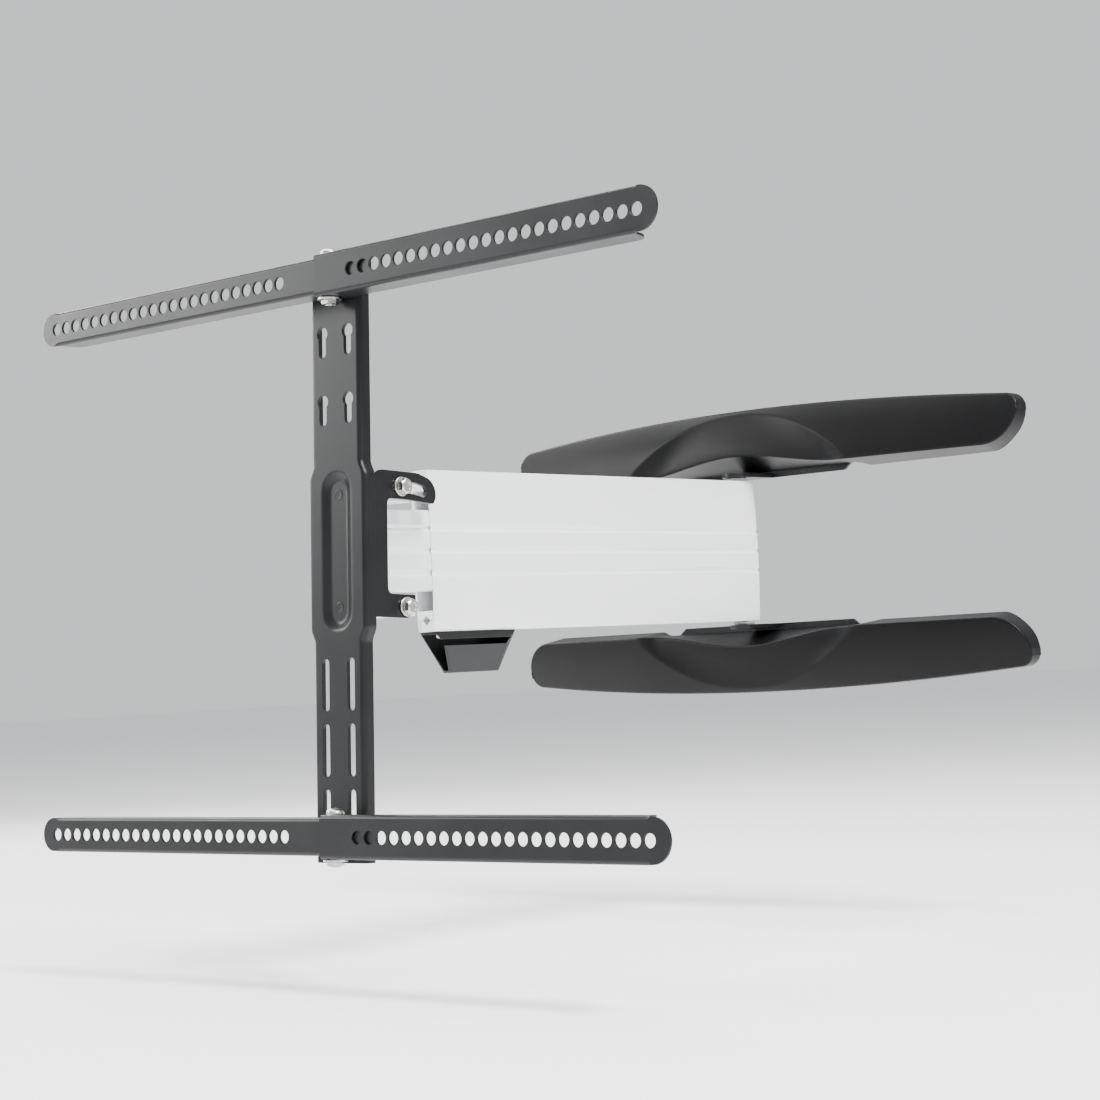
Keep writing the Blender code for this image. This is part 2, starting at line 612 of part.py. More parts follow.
def column(parent, offset):
    """Channel with its flanges to the rear, wider round a stadium-shaped pressing that takes the rivets."""
    body = prism(column_outline(0.0), "y", COLUMN_FRONT, COLUMN_BACK)
    hollow = column_outline(COLUMN_STEEL)
    hollow = [(x, z + (30.0 if z == COLUMN_TOP else -30.0 if z == COLUMN_FOOT else 0.0)) for x, z in hollow]
    cut(body, prism(hollow, "y", COLUMN_FRONT + COLUMN_STEEL, COLUMN_BACK + 1.0))
    floor = COLUMN_FRONT + PRESS_DEPTH
    boss = stadium(PRESS_HALF, PRESS_HALF_LONG, PRESS_MID)
    add(body, prism(boss, "y", COLUMN_FRONT + 1.0, WEB_FRONT - GAP))
    slope = 2.9
    pocket = stadium(PRESS_HALF - slope, PRESS_HALF_LONG - slope, PRESS_MID)
    cut(body, prism(pocket, "y", COLUMN_FRONT - 1.0, floor))
    tools = [rod(3.0 + GAP, "y", (0.0, z), floor - 1.0, WEB_FRONT + 1.0, 12) for z in RIVETS]
    front, back = COLUMN_FRONT - 1.0, COLUMN_FRONT + COLUMN_STEEL + 1.0
    for x in (-13.0, 13.0):
        for z in (151.5, 101.8):
            keyhole = arc((x, z + 5.0), 5.0, -48.0, 228.0, 9) + arc((x, z - 9.0), 3.3, 180.0, 360.0, 5)
            tools.append(prism(keyhole, "y", front, back))
        for z in (-97.6, -144.2, -190.8):
            outline = arc((x, z + 15.5), 3.3, 0.0, 180.0, 5) + arc((x, z - 15.5), 3.3, 180.0, 360.0, 5)
            tools.append(prism(outline, "y", front, back))
    cut(body, *tools)
    hang(body, "column", "black_steel", parent, offset)
    for z, word in zip(RIVETS, ("lower", "upper")):
        seat, tail = floor - GAP, WEB_BACK + GAP
        profile = [(0.0, seat - 0.6), (4.6, seat - 0.6), (4.6, seat), (3.0, seat), (3.0, tail), (5.0, tail),
                   (4.4, tail + 1.6), (0.0, tail + 2.0)]
        hang(turned(profile, "y", (0.0, z), 14), "column_rivet_" + word, "black_steel", parent, offset)


def rail(level, side, parent, offset):
    """Half a rail: a channel with its flanges to the rear and a rounded outer end, full of holes."""
    outer = side > 0
    steel = RAIL_STEEL
    half = RAIL_HALF if outer else RAIL_HALF - steel - GAP
    front = -RAIL_REACH if outer else -RAIL_REACH + steel + GAP
    back = COLUMN_FRONT - GAP
    start = SEAM if outer else -NEST
    bend = 1.6
    section = [(back, -half), (front + bend, -half), (front, -half + bend), (front, half - bend),
               (front + bend, half), (back, half), (back, half - steel), (front + steel, half - steel),
               (front + steel, -half + steel), (back, -half + steel)]
    section = [(y, z + level) for y, z in section]
    straight = RAIL_END - RAIL_HALF - 6.0
    low, high = sorted((side * start, side * straight))
    body = prism(section, "x", low, high)
    tip_half = half - 0.4
    tip = [(side * (straight - 5.0), level - tip_half)]
    curve = arc((RAIL_END - tip_half, level), tip_half, -90.0, 90.0, 8)
    tip += [(side * x, z) for x, z in curve] + [(side * (straight - 5.0), level + tip_half)]
    add(body, prism(tip, "y", front + 0.05, front + steel - 0.05))
    pitch = (HOLE_LAST - HOLE_FIRST) / (HOLES - 1)
    places = [side * (HOLE_FIRST + pitch * i) for i in range(HOLES)]
    tools = [rod(HOLE_R, "y", (x, level), front - 1.0, front + steel + 1.0, 8) for x in places]
    for flange in (level + half - steel / 2, level - half + steel / 2):
        tools.append(rod(RAIL_BOLT_R + GAP, "z", RAIL_BOLT, flange - 3.0, flange + 3.0, 12))
    cut(body, *tools)
    name = "rail_%s_%s" % ("upper" if level > 0 else "lower", "right" if outer else "left")
    return hang(body, name, "black_steel", parent, offset)


def rail_joint(level, parent, offset):
    """The saddle on the column and the upright bolt, washer and nut that hold both halves of a rail."""
    word = "upper" if level > 0 else "lower"
    inner = RAIL_HALF - 2 * RAIL_STEEL - 2 * GAP
    low, high = level - inner, level + inner
    saddle = block((-12.0, -60.0, low), (24.0, COLUMN_FRONT - GAP, high))
    cut(saddle, rod(RAIL_BOLT_R + GAP, "z", RAIL_BOLT, low - 1.0, high + 1.0, 12))
    hang(saddle, "rail_saddle_" + word, "black_steel", parent, offset)
    top = level + RAIL_HALF + GAP
    foot = level - RAIL_HALF - GAP
    ring_foot = foot - 1.5
    nut_foot = ring_foot - GAP - NUT_HIGH
    tip = nut_foot - 0.6
    profile = [(0.0, tip), (RAIL_BOLT_R, tip), (RAIL_BOLT_R, top), (6.6, top), (6.2, top + 2.2),
               (4.2, top + 3.9), (0.0, top + 4.4)]
    hang(turned(profile, "z", RAIL_BOLT, 16), "rail_bolt_" + word, "zinc_steel", parent, offset)
    ring = washer(RAIL_BOLT_R + GAP, 8.8, "z", RAIL_BOLT, ring_foot, foot, "ring")
    hang(ring, "rail_washer_" + word, "zinc_steel", parent, offset)
    nut = prism(circle(RAIL_BOLT, 6.4, 6), "z", nut_foot, ring_foot - GAP)
    cut(nut, rod(RAIL_BOLT_R + GAP, "z", RAIL_BOLT, nut_foot - 1.0, ring_foot, 12))
    hang(nut, "rail_nut_" + word, "zinc_steel", parent, offset)


def main():
    clear_scene()
    middle = axis_empty("arm_middle", (0.0, 0.0, -ORIGIN_RISE))
    for side in (1, -1):
        wall_bracket(side, middle)
        cover(side, middle)
    wall_hinge(middle)

    wall_swivel = axis_empty("wall_swivel_axis", (0.0, -WALL_AXIS, 0.0), middle)
    beam(wall_swivel)
    knuckle(0.0, -1, "wall_knuckle", wall_swivel)
    knuckle(-ARM_SPAN, 1, "screen_knuckle", wall_swivel)
    for side in (1, -1):
        shell(side, wall_swivel)
    clip(wall_swivel)

    tv_swivel = axis_empty("tv_swivel_axis", (0.0, -ARM_SPAN, 0.0), wall_swivel)
    fork(tv_swivel)
    swivel_pin(tv_swivel)
    tilt_bolts(tv_swivel)

    tilt = axis_empty("tilt_axis", (0.0, 0.0, TILT_Z), tv_swivel)
    tilt.rotation_euler.x = radians(-REST_TILT)
    offset = (0.0, 0.0, -TILT_Z)
    tilt_bracket(tilt, offset)
    column(tilt, offset)
    for level in (RAIL_MID + RAIL_SPREAD / 2, RAIL_MID - RAIL_SPREAD / 2):
        for side in (1, -1):
            rail(level, side, tilt, offset)
        rail_joint(level, tilt, offset)


main()
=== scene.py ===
"""Looks for a full motion TV wall mount: two moulded wall covers, an extruded arm, a pressed column and
perforated screen rails. Pieces are drawn in millimetres in their body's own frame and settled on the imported
model's joints; every finish is a node material."""
import json
from math import cos, hypot, pi, radians, sin, sqrt

import bmesh
import bpy
from bpy.props import FloatProperty, FloatVectorProperty, IntProperty, PointerProperty, StringProperty
from mathutils import Matrix, Vector


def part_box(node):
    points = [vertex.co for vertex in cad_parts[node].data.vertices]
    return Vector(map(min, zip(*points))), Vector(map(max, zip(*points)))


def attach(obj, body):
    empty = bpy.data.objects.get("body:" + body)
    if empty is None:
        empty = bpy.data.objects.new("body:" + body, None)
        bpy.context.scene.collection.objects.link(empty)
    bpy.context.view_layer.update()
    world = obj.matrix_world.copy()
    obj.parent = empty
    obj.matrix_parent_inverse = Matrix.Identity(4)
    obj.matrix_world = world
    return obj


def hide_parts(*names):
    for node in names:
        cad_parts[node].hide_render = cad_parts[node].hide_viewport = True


bl_info = {
    "name": "TV wall mount looks",
    "version": (1, 0, 0),
    "blender": (4, 5, 0),
    "location": "View3D > Sidebar > Wall Mount",
    "description": "Fine pieces, finishes and a studio for a full motion TV wall mount",
    "category": "Object",
}

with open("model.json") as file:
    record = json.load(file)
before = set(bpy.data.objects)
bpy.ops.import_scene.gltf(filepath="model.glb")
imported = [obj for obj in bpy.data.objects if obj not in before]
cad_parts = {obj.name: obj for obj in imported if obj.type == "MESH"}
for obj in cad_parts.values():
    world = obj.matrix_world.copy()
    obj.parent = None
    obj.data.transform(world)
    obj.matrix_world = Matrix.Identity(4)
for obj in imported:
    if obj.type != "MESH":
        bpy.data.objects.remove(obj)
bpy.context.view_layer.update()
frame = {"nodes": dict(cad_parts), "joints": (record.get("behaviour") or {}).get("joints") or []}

MM = 0.001
REST_TILT = 2.9         # the screen frame leans back by this many degrees
JOINTS = {joint["name"]: Vector(joint["pos_m"]) for joint in frame["joints"]}
ARM_MIDDLE = JOINTS["wall_swivel"].z
DROP = (JOINTS["screen_swivel"].z - JOINTS["tilt"].z) / MM      # arm's mid height to the tilt axis
ARM_SPAN = (JOINTS["wall_swivel"].y - JOINTS["screen_swivel"].y) / MM
SCALE = Matrix.Scale(MM, 4)
PLACES = {
    "wall": Matrix.Translation((0.0, 0.0, ARM_MIDDLE)) @ SCALE,
    "arm": Matrix.Translation(JOINTS["wall_swivel"]) @ SCALE,
    "swivel_head": Matrix.Translation(JOINTS["screen_swivel"]) @ SCALE,
    "screen_frame": (Matrix.Translation(JOINTS["tilt"]) @ Matrix.Rotation(radians(-REST_TILT), 4, "X")
                     @ SCALE @ Matrix.Translation((0.0, 0.0, DROP))),
}


def mm(name, description, default):
    """A length setting in millimetres."""
    return FloatProperty(name=name, description=description + ", in mm", default=default)


def shade(name, description, default):
    """A colour setting as sRGB hex."""
    return StringProperty(name=name, description=description + ", sRGB hex", default=default)


# ---------------------------------------------------------------- shapes, in millimetres

def mesh_object(bm, name="piece"):
    mesh = bpy.data.meshes.new(name)
    bm.to_mesh(mesh)
    bm.free()
    obj = bpy.data.objects.new(name, mesh)
    bpy.context.scene.collection.objects.link(obj)
    return obj


def closed(bm, name="piece"):
    bmesh.ops.remove_doubles(bm, verts=bm.verts, dist=1e-4)
    bmesh.ops.recalc_face_normals(bm, faces=bm.faces)
    return mesh_object(bm, name)


def along(axis, u, v, w):
    return {"x": (w, u, v), "y": (u, w, v), "z": (u, v, w)}[axis]


def arc(centre, radius, start, end, steps):
    angles = [radians(start + (end - start) * i / steps) for i in range(steps + 1)]
    return [(centre[0] + radius * cos(a), centre[1] + radius * sin(a)) for a in angles]


def rounded(corners, steps=6):
    """An outline from (u, v, radius) corners."""
    points = []
    # Painted highlight: a lighter black painted on the grain, standing in for light catching the grain's tops
    count = len(corners)
    for i, (u, v, radius) in enumerate(corners):
        here = Vector((u, v))
        if radius <= 0.0:
            points.append(tuple(here))
            continue
        before = (Vector(corners[i - 1][:2]) - here)
        after = (Vector(corners[(i + 1) % count][:2]) - here)
        reach = min(radius, 0.48 * before.length, 0.48 * after.length)
        first, last = here + before.normalized() * reach, here + after.normalized() * reach
        for step in range(steps + 1):
            t = step / steps
            points.append(tuple((1 - t) ** 2 * first + 2 * t * (1 - t) * here + t * t * last))
    return points


def loft(rings, name="piece"):
    """Join rings of equal length and close both ends."""
    bm = bmesh.new()
    verts = [[bm.verts.new(point) for point in ring] for ring in rings]
    count = len(rings[0])
    for near, far in zip(verts, verts[1:]):
        for i in range(count):
            bm.faces.new((near[i], near[(i + 1) % count], far[(i + 1) % count], far[i]))
    bm.faces.new(verts[0])
    bm.faces.new(verts[-1])
    return closed(bm, name)


def prism(outline, axis, low, high, name="piece"):
    return loft([[along(axis, u, v, w) for u, v in outline] for w in (low, high)], name)


def turned(profile, axis, centre=(0.0, 0.0), sides=48, name="piece"):
    """Spin a closed profile of (radius, height) points about a line along the axis."""
    bm = bmesh.new()
    rings = []
    for i in range(sides):
        angle = 2 * pi * i / sides
        rings.append([bm.verts.new(along(axis, centre[0] + r * cos(angle), centre[1] + r * sin(angle), h))
                      for r, h in profile])
    count = len(profile)
    for i in range(sides):
        near, far = rings[i], rings[(i + 1) % sides]
        for j in range(count):
            k = (j + 1) % count
            if profile[j][0] > 0.0 or profile[k][0] > 0.0:
                bm.faces.new((near[j], near[k], far[k], far[j]))
    bmesh.ops.remove_doubles(bm, verts=bm.verts, dist=1e-4)
    bmesh.ops.dissolve_degenerate(bm, edges=bm.edges, dist=1e-4)
    return closed(bm, name)


def rod(radius, axis, centre, low, high, sides=40):
    return turned([(0.0, low), (radius, low), (radius, high), (0.0, high)], axis, centre, sides)


def flared(outline, axis, face, back, flare=0.45, name="cutter"):
    """A cutter whose outline opens out where it leaves the face, for a broken edge on a punched hole."""
    count = len(outline)
    wider = []
    for i in range(count):
        along_edge = Vector(outline[(i + 1) % count]) - Vector(outline[i - 1])
        out = Vector((along_edge.y, -along_edge.x)).normalized() * flare
        wider.append((outline[i][0] + out.x, outline[i][1] + out.y))
    inward = 1.0 if back > face else -1.0
    levels = ((wider, face - inward * 1.0), (wider, face), (outline, face + inward * flare), (outline, back))
    return loft([[along(axis, u, v, w) for u, v in ring] for ring, w in levels], name)


def baked(obj):
    """Turn the object's modifiers into its mesh."""
    depsgraph = bpy.context.evaluated_depsgraph_get()
    depsgraph.update()
    mesh = bpy.data.meshes.new_from_object(obj.evaluated_get(depsgraph))
    obj.modifiers.clear()
    obj.data = mesh
    return obj


def merged(tools):
    bm = bmesh.new()
    for tool in tools:
        bm.from_mesh(tool.data)
        bpy.data.objects.remove(tool, do_unlink=True)
    return mesh_object(bm, "tools")


def combine(target, tools, operation):
    tool = merged(tools)
    modifier = target.modifiers.new("combine", "BOOLEAN")
    modifier.operation = operation
    modifier.object = tool
    baked(target)
    bpy.data.objects.remove(tool, do_unlink=True)
    return target


def cut(target, *tools):
    return combine(target, tools, "DIFFERENCE")


def add(target, *tools):
    for tool in tools:
        combine(target, [tool], "UNION")
    return target


def eased(obj, width, segments=2, angle=35.0):
    """Break the sharp edges and keep the flats flat in the shading."""
    bm = bmesh.new()
    bm.from_mesh(obj.data)
    bmesh.ops.remove_doubles(bm, verts=bm.verts, dist=width * 0.01)
    bmesh.ops.dissolve_limit(bm, angle_limit=radians(0.6), verts=bm.verts, edges=bm.edges)
    bm.to_mesh(obj.data)
    bm.free()
    obj.data.shade_smooth()
    bevel = obj.modifiers.new("edges", "BEVEL")
    bevel.width = width
    bevel.segments = segments
    bevel.limit_method = "ANGLE"
    bevel.angle_limit = radians(angle)
    bevel.miter_outer = "MITER_ARC"
    baked(obj)
    return polished(obj)


def polished(obj, angle=40.0):
    """Smooth shading that the flats win."""
    obj.data.shade_smooth()
    obj.data.set_sharp_from_angle(angle=radians(angle))
    weigh = obj.modifiers.new("weigh", "WEIGHTED_NORMAL")
    weigh.keep_sharp = True
    weigh.weight = 80
    return baked(obj)


def smoothstep(value):
    value = max(0.0, min(1.0, value))
    return value * value * (3.0 - 2.0 * value)


# ---------------------------------------------------------------- finishes

def to_linear(colour):
    channels = [int(colour[i:i + 2], 16) / 255.0 for i in (1, 3, 5)]
    return tuple(c / 12.92 if c <= 0.04045 else ((c + 0.055) / 1.055) ** 2.4 for c in channels) + (1.0,)


def per(size):
    """Texture scale for a feature of this many millimetres."""
    return 1.0 / (size * MM)


def node(tree, kind, settings=(), values=(), links=()):
    """Add a shader or geometry node with its settings, socket values and incoming links."""
    made = tree.nodes.new(kind)
    for key, value in settings:
        setattr(made, key, value)
    for key, value in values:
        made.inputs[key].default_value = value
    for key, source in links:
        tree.links.new(source, made.inputs[key])
    return made


def begin(name, colour, metallic, roughness, specular=0.5):
    made = bpy.data.materials.new(name)
    made.use_nodes = True
    tree = made.node_tree
    shader = tree.nodes["Principled BSDF"]
    shader.inputs["Base Color"].default_value = to_linear(colour)
    shader.inputs["Metallic"].default_value = metallic
    shader.inputs["Roughness"].default_value = roughness
    shader.inputs["Specular IOR Level"].default_value = specular
    made.diffuse_color = to_linear(colour)
    where = node(tree, "ShaderNodeTexCoord").outputs["Object"]
    return made, tree, shader, where


def noise(tree, where, size, detail=2.0, roughness=0.5):
    """Cloudy variation with features of this many millimetres."""
    values = (("Scale", per(size)), ("Detail", detail), ("Roughness", roughness))
    return node(tree, "ShaderNodeTexNoise", values=values, links=(("Vector", where),)).outputs["Fac"]


def cells(tree, where, size):
    """Distance into cells of this many millimetres."""
    made = node(tree, "ShaderNodeTexVoronoi", values=(("Scale", per(size)),), links=(("Vector", where),))
    return made.outputs["Distance"]


def tint(tree, shader, source, low, high, start, stop):
    """Spread a texture's middle range over two colours of the finish."""
    made = node(tree, "ShaderNodeValToRGB", links=(("Fac", source),))
    for element, place, colour in zip(made.color_ramp.elements, (start, stop), (low, high)):
        element.position = place
        element.color = to_linear(colour)
    tree.links.new(made.outputs["Color"], shader.inputs["Base Color"])


def sheen(tree, shader, source, low, high):
    """Let the roughness drift between two values."""
    made = node(tree, "ShaderNodeMapRange", values=(
        ("From Min", 0.3), ("From Max", 0.7), ("To Min", low), ("To Max", high)), links=(("Value", source),))
    tree.links.new(made.outputs["Result"], shader.inputs["Roughness"])


def relief(tree, shader, height, strength, depth):
    bump = node(tree, "ShaderNodeBump", values=(("Strength", strength), ("Distance", depth * MM)),
                links=(("Height", height),))
    tree.links.new(bump.outputs["Normal"], shader.inputs["Normal"])


def powder_coated_steel(look):
    """Satin black powder coat: a fine orange peel breaks up its soft sheen, which drifts across a panel."""
    made, tree, shader, where = begin("satin black powder-coated steel", look.steel_colour, 0.0, 0.4, 0.26)
    drift = noise(tree, where, 45.0)
    tint(tree, shader, drift, look.steel_colour, look.steel_light, 0.3, 0.75)
    sheen(tree, shader, drift, 0.36, 0.43)
    relief(tree, shader, noise(tree, where, 1.6, 3.0), 0.22, 0.05)
    return made


def spark_textured_abs(look):
    """Black ABS from a spark-eroded mould: an even fine grain softens every highlight, and the grain's cells
    carry a painted highlight in a lighter black.
    """
    made, tree, shader, where = begin("spark-textured black ABS", look.abs_colour, 0.0, 0.42, 0.13)
    grain = cells(tree, where, 0.9)
    # Painted highlight: the grain's cells get the lighter black, standing in for light catching the grain
    tint(tree, shader, grain, look.abs_painted_highlight, look.abs_colour, 0.1, 0.8)
    sheen(tree, shader, noise(tree, where, 60.0), 0.4, 0.46)
    relief(tree, shader, grain, 0.3, 0.06)
    return made


def clear_anodised_aluminium(look):
    """Extruded aluminium, etched and clear anodised: pale and silky, with faint die lines along it."""
    made, tree, shader, where = begin("clear anodised aluminium", look.aluminium_colour, 0.35, 0.36)
    stretch = node(tree, "ShaderNodeMapping", values=(("Scale", (1.0, 0.012, 1.0)),),
                   links=(("Vector", where),))
    lines = noise(tree, stretch.outputs["Vector"], 1.1, 4.0, 0.7)
    tint(tree, shader, lines, look.aluminium_dark, look.aluminium_colour, 0.25, 0.6)
    sheen(tree, shader, noise(tree, where, 0.7), 0.32, 0.4)
    relief(tree, shader, lines, 0.05, 0.02)
    return made


def zinc_plated_steel(look):
    """Bright zinc plate on turned and headed steel: cool metal with a faint crystalline mottle."""
    made, tree, shader, where = begin("bright zinc-plated steel", look.zinc_colour, 1.0, 0.28)
    mottle = cells(tree, where, 1.4)
    tint(tree, shader, mottle, look.zinc_colour, look.zinc_dark, 0.2, 0.9)
    sheen(tree, shader, mottle, 0.22, 0.34)
    relief(tree, shader, mottle, 0.1, 0.03)
    return made


def moulded_nylon(look):
    """Grey nylon bearing rings: slightly waxy, with a faint flow mottle."""
    made, tree, shader, where = begin("moulded grey nylon", look.nylon_colour, 0.0, 0.5)
    flow = noise(tree, where, 3.0)
    tint(tree, shader, flow, look.nylon_colour, look.nylon_light, 0.3, 0.7)
    relief(tree, shader, flow, 0.1, 0.05)
    return made


def studio_paper(look):
    """Matt pale floor paper with a barely visible fibre."""
    made, tree, shader, where = begin("matt pale studio paper", look.floor_colour, 0.0, 0.85)
    relief(tree, shader, noise(tree, where, 4.0, 3.0), 0.08, 0.1)
    return made


FINISHES = {
    "black_steel": powder_coated_steel,
    "black_plastic": spark_textured_abs,
    "silver_aluminium": clear_anodised_aluminium,
    "zinc_steel": zinc_plated_steel,
    "grey_nylon": moulded_nylon,
}


def finish_of(slot):
    """The slot's material, made once."""
    name = "slot " + slot
    found = next((m for m in bpy.data.materials if m.get("slot") == name), None)
    if found:
        return found
    made = FINISHES[slot](bpy.context.scene.mount_look)
    made["slot"] = name
    return made


def settle(obj, name, body, slot, *nodes, placed=False):
    """Move a finished piece from its body's millimetres to the model's metres, and hang it on the body."""
    if not placed:
        obj.data.transform(PLACES[body])
    obj.name = name
    obj.data.name = name
    obj.data.materials.clear()
    obj.data.materials.append(finish_of(slot))
    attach(obj, body)
    if nodes:
        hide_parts(*nodes)
    return obj


def from_frame(*nodes):
    """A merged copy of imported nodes, in the model's metres."""
    bm = bmesh.new()
    for name in nodes:
        bm.from_mesh(frame["nodes"][name].data)
    bmesh.ops.remove_doubles(bm, verts=bm.verts, dist=1e-6)
    return mesh_object(bm)


def eased_copy(name, body, slot, width, *nodes):
    obj = eased(from_frame(*nodes), width * MM, 2, 40.0)
    return settle(obj, name, body, slot, *nodes, placed=True)


# ---------------------------------------------------------------- geometry node trees

def tree_with(name, sockets):
    tree = bpy.data.node_groups.new(name, "GeometryNodeTree")
    tree.interface.new_socket("Geometry", in_out="INPUT", socket_type="NodeSocketGeometry")
    for label, kind in sockets:
        tree.interface.new_socket(label, in_out="INPUT", socket_type=kind)
    tree.interface.new_socket("Geometry", in_out="OUTPUT", socket_type="NodeSocketGeometry")
    return tree, node(tree, "NodeGroupInput"), node(tree, "NodeGroupOutput")


def end_tree(tree, given, out, geometry):
    """Realise the instances, give them the finish and send them out."""
    real = node(tree, "GeometryNodeRealizeInstances", links=(("Geometry", geometry),))
    painted = node(tree, "GeometryNodeSetMaterial", links=(("Geometry", real.outputs["Geometry"]),
                                                           ("Material", given.outputs["Finish"])))
    tree.links.new(painted.outputs["Geometry"], out.inputs["Geometry"])
    return tree


def perforated_sheet_tree():
    """Punch a row of equal holes along a sheet."""
    tree, given, out = tree_with("perforated sheet", (
        ("Punch", "NodeSocketObject"), ("First Hole", "NodeSocketVector"),
        ("Hole Pitch", "NodeSocketVector"), ("Hole Count", "NodeSocketInt"),
        ("Finish", "NodeSocketMaterial")))
    row = node(tree, "GeometryNodeMeshLine", links=(
        ("Count", given.outputs["Hole Count"]), ("Start Location", given.outputs["First Hole"]),
        ("Offset", given.outputs["Hole Pitch"])))
    punch = node(tree, "GeometryNodeObjectInfo", (("transform_space", "ORIGINAL"),),
                 links=(("Object", given.outputs["Punch"]),))
    punches = node(tree, "GeometryNodeInstanceOnPoints", links=(
        ("Points", row.outputs["Mesh"]), ("Instance", punch.outputs["Geometry"])))
    real = node(tree, "GeometryNodeRealizeInstances", links=(("Geometry", punches.outputs["Instances"]),))
    holes = node(tree, "GeometryNodeMeshBoolean", (("operation", "DIFFERENCE"), ("solver", "EXACT")), links=(
        ("Mesh 1", given.outputs["Geometry"]), ("Mesh 2", real.outputs["Geometry"])))
    return end_tree(tree, given, out, holes.outputs["Mesh"])


def set_fasteners_tree():
    """Stand a fastener on each point, turned to the point's own angles."""
    tree, given, out = tree_with("set fasteners", (
        ("Fastener", "NodeSocketObject"), ("Finish", "NodeSocketMaterial")))
    part = node(tree, "GeometryNodeObjectInfo", (("transform_space", "ORIGINAL"),),
                links=(("Object", given.outputs["Fastener"]),))
    turn = node(tree, "GeometryNodeInputNamedAttribute", (("data_type", "FLOAT_VECTOR"),),
                (("Name", "turn"),))
    angles = node(tree, "FunctionNodeEulerToRotation", links=(("Euler", turn.outputs["Attribute"]),))
    copies = node(tree, "GeometryNodeInstanceOnPoints", links=(
        ("Points", given.outputs["Geometry"]), ("Instance", part.outputs["Geometry"]),
        ("Rotation", angles.outputs["Rotation"])))
    return end_tree(tree, given, out, copies.outputs["Instances"])


def run_tree(obj, tree, values):
    """Evaluate a tree on the object with its inputs set by identifier, and keep the plain mesh."""
    modifier = obj.modifiers.new(tree.name, "NODES")
    modifier.node_group = tree
    sockets = {item.name: item.identifier for item in tree.interface.items_tree
               if item.item_type == "SOCKET" and item.in_out == "INPUT"}
    for label, value in values.items():
        modifier[sockets[label]] = value
    return baked(obj)


def set_fasteners(fastener, places, name, body, slot, *nodes):
    """One mesh of like fasteners; each place is ((x, y, z), (turns about x, y, z in degrees))."""
    bm = bmesh.new()
    for point, turns in places:
        bm.verts.new(point)
    host = mesh_object(bm)
    turn = host.data.attributes.new("turn", "FLOAT_VECTOR", "POINT")
    for item, (point, turns) in zip(turn.data, places):
        item.vector = [radians(angle) for angle in turns]
    tree = bpy.data.node_groups.get("set fasteners") or set_fasteners_tree()
    run_tree(host, tree, {"Fastener": fastener, "Finish": finish_of(slot)})
    bpy.data.objects.remove(fastener, do_unlink=True)
    polished(host)
    return settle(host, name, body, slot, *nodes)


# ---------------------------------------------------------------- wall covers

class CoverSettings(bpy.types.PropertyGroup):
    half_length: mm("Half length", "Cover centre to its end", 267.0)
    top: mm("Far edge", "Arm's mid height to the far edge", 122.0)
    lip: mm("Near edge", "Arm's mid height to the near edge", 69.0)
    dip: mm("Dip", "Rise of the near edge over the hinge", 12.0)
    depth: mm("Depth", "Stand-off of the face at the middle", 46.0)
    wall: mm("Wall", "Moulded wall thickness", 2.4)
    lip_radius: mm("Lip radius", "Rounding where face meets skirt", 1.6)
    rear: mm("Rear of the dip", "Height of the underside at the wall", 68.6)
    scoop: mm("Scoop", "Depth of the dished arch over the hinge", 6.0)


DIP_REACH = 112.0       # half width of the dip over the hinge
ARCH_HALF = 116.0       # half width of the dished arch
ARCH_FOOT = 72.0        # height where the arch's crease meets the lip
ARCH_RISE = 46.0


def dip_at(x):
    return 0.5 + 0.5 * cos(pi * x / DIP_REACH) if abs(x) < DIP_REACH else 0.0


def lip_at(look, x):
    return look.lip + look.dip * dip_at(x)


def far_edge_at(look, x):
    return look.top - 13.0 * (x / look.half_length) ** 2


def face_depth(look, x, z):
    """Stand-off of the cover's face, with a crease that falls into a dished arch."""
    lip = lip_at(look, x)
    rise = max(0.0, min(1.0, (z - lip) / (far_edge_at(look, x) - lip)))
    depth = (look.depth - 26.0 * (x / look.half_length) ** 2) * (1.0 - 0.42 * rise ** 2)
    share = min(1.0, abs(x) / ARCH_HALF)
    crease = ARCH_FOOT + ARCH_RISE * (1.0 - share ** 2.2)
    inside = max(0.0, min(1.0, (crease - z) / 24.0))
    fall = 1.0 - (1.0 - inside) ** 2
    return depth - look.scoop * fall * smoothstep((1.0 - share) * 4.0 + 0.35 * (share < 1.0))


def cover_outline(look):
    """Front outline from the middle of the lip round the right end, with a point about every 2 mm."""
    outer_r, inner_r, end = 12.0, 30.0, look.half_length
    straight = end - inner_r
    count = 110
    xs = [straight * i / count for i in range(count + 1)]
    bottom = [(x, lip_at(look, x)) for x in xs]
    right_low = arc((straight, look.lip + inner_r), inner_r, -90.0, 0.0, 18)[1:]
    corner = far_edge_at(look, end - outer_r)
    right_top = arc((end - outer_r, corner - outer_r), outer_r, 0.0, 84.0, 10)
    top_start = end - outer_r
    top = [(top_start, far_edge_at(look, top_start))]
    top += [(x, far_edge_at(look, x)) for x in reversed(xs) if x < top_start - 2.0]
    right = bottom + right_low + right_top + top
    return right + [(-x, z) for x, z in reversed(right) if x > 0.0]


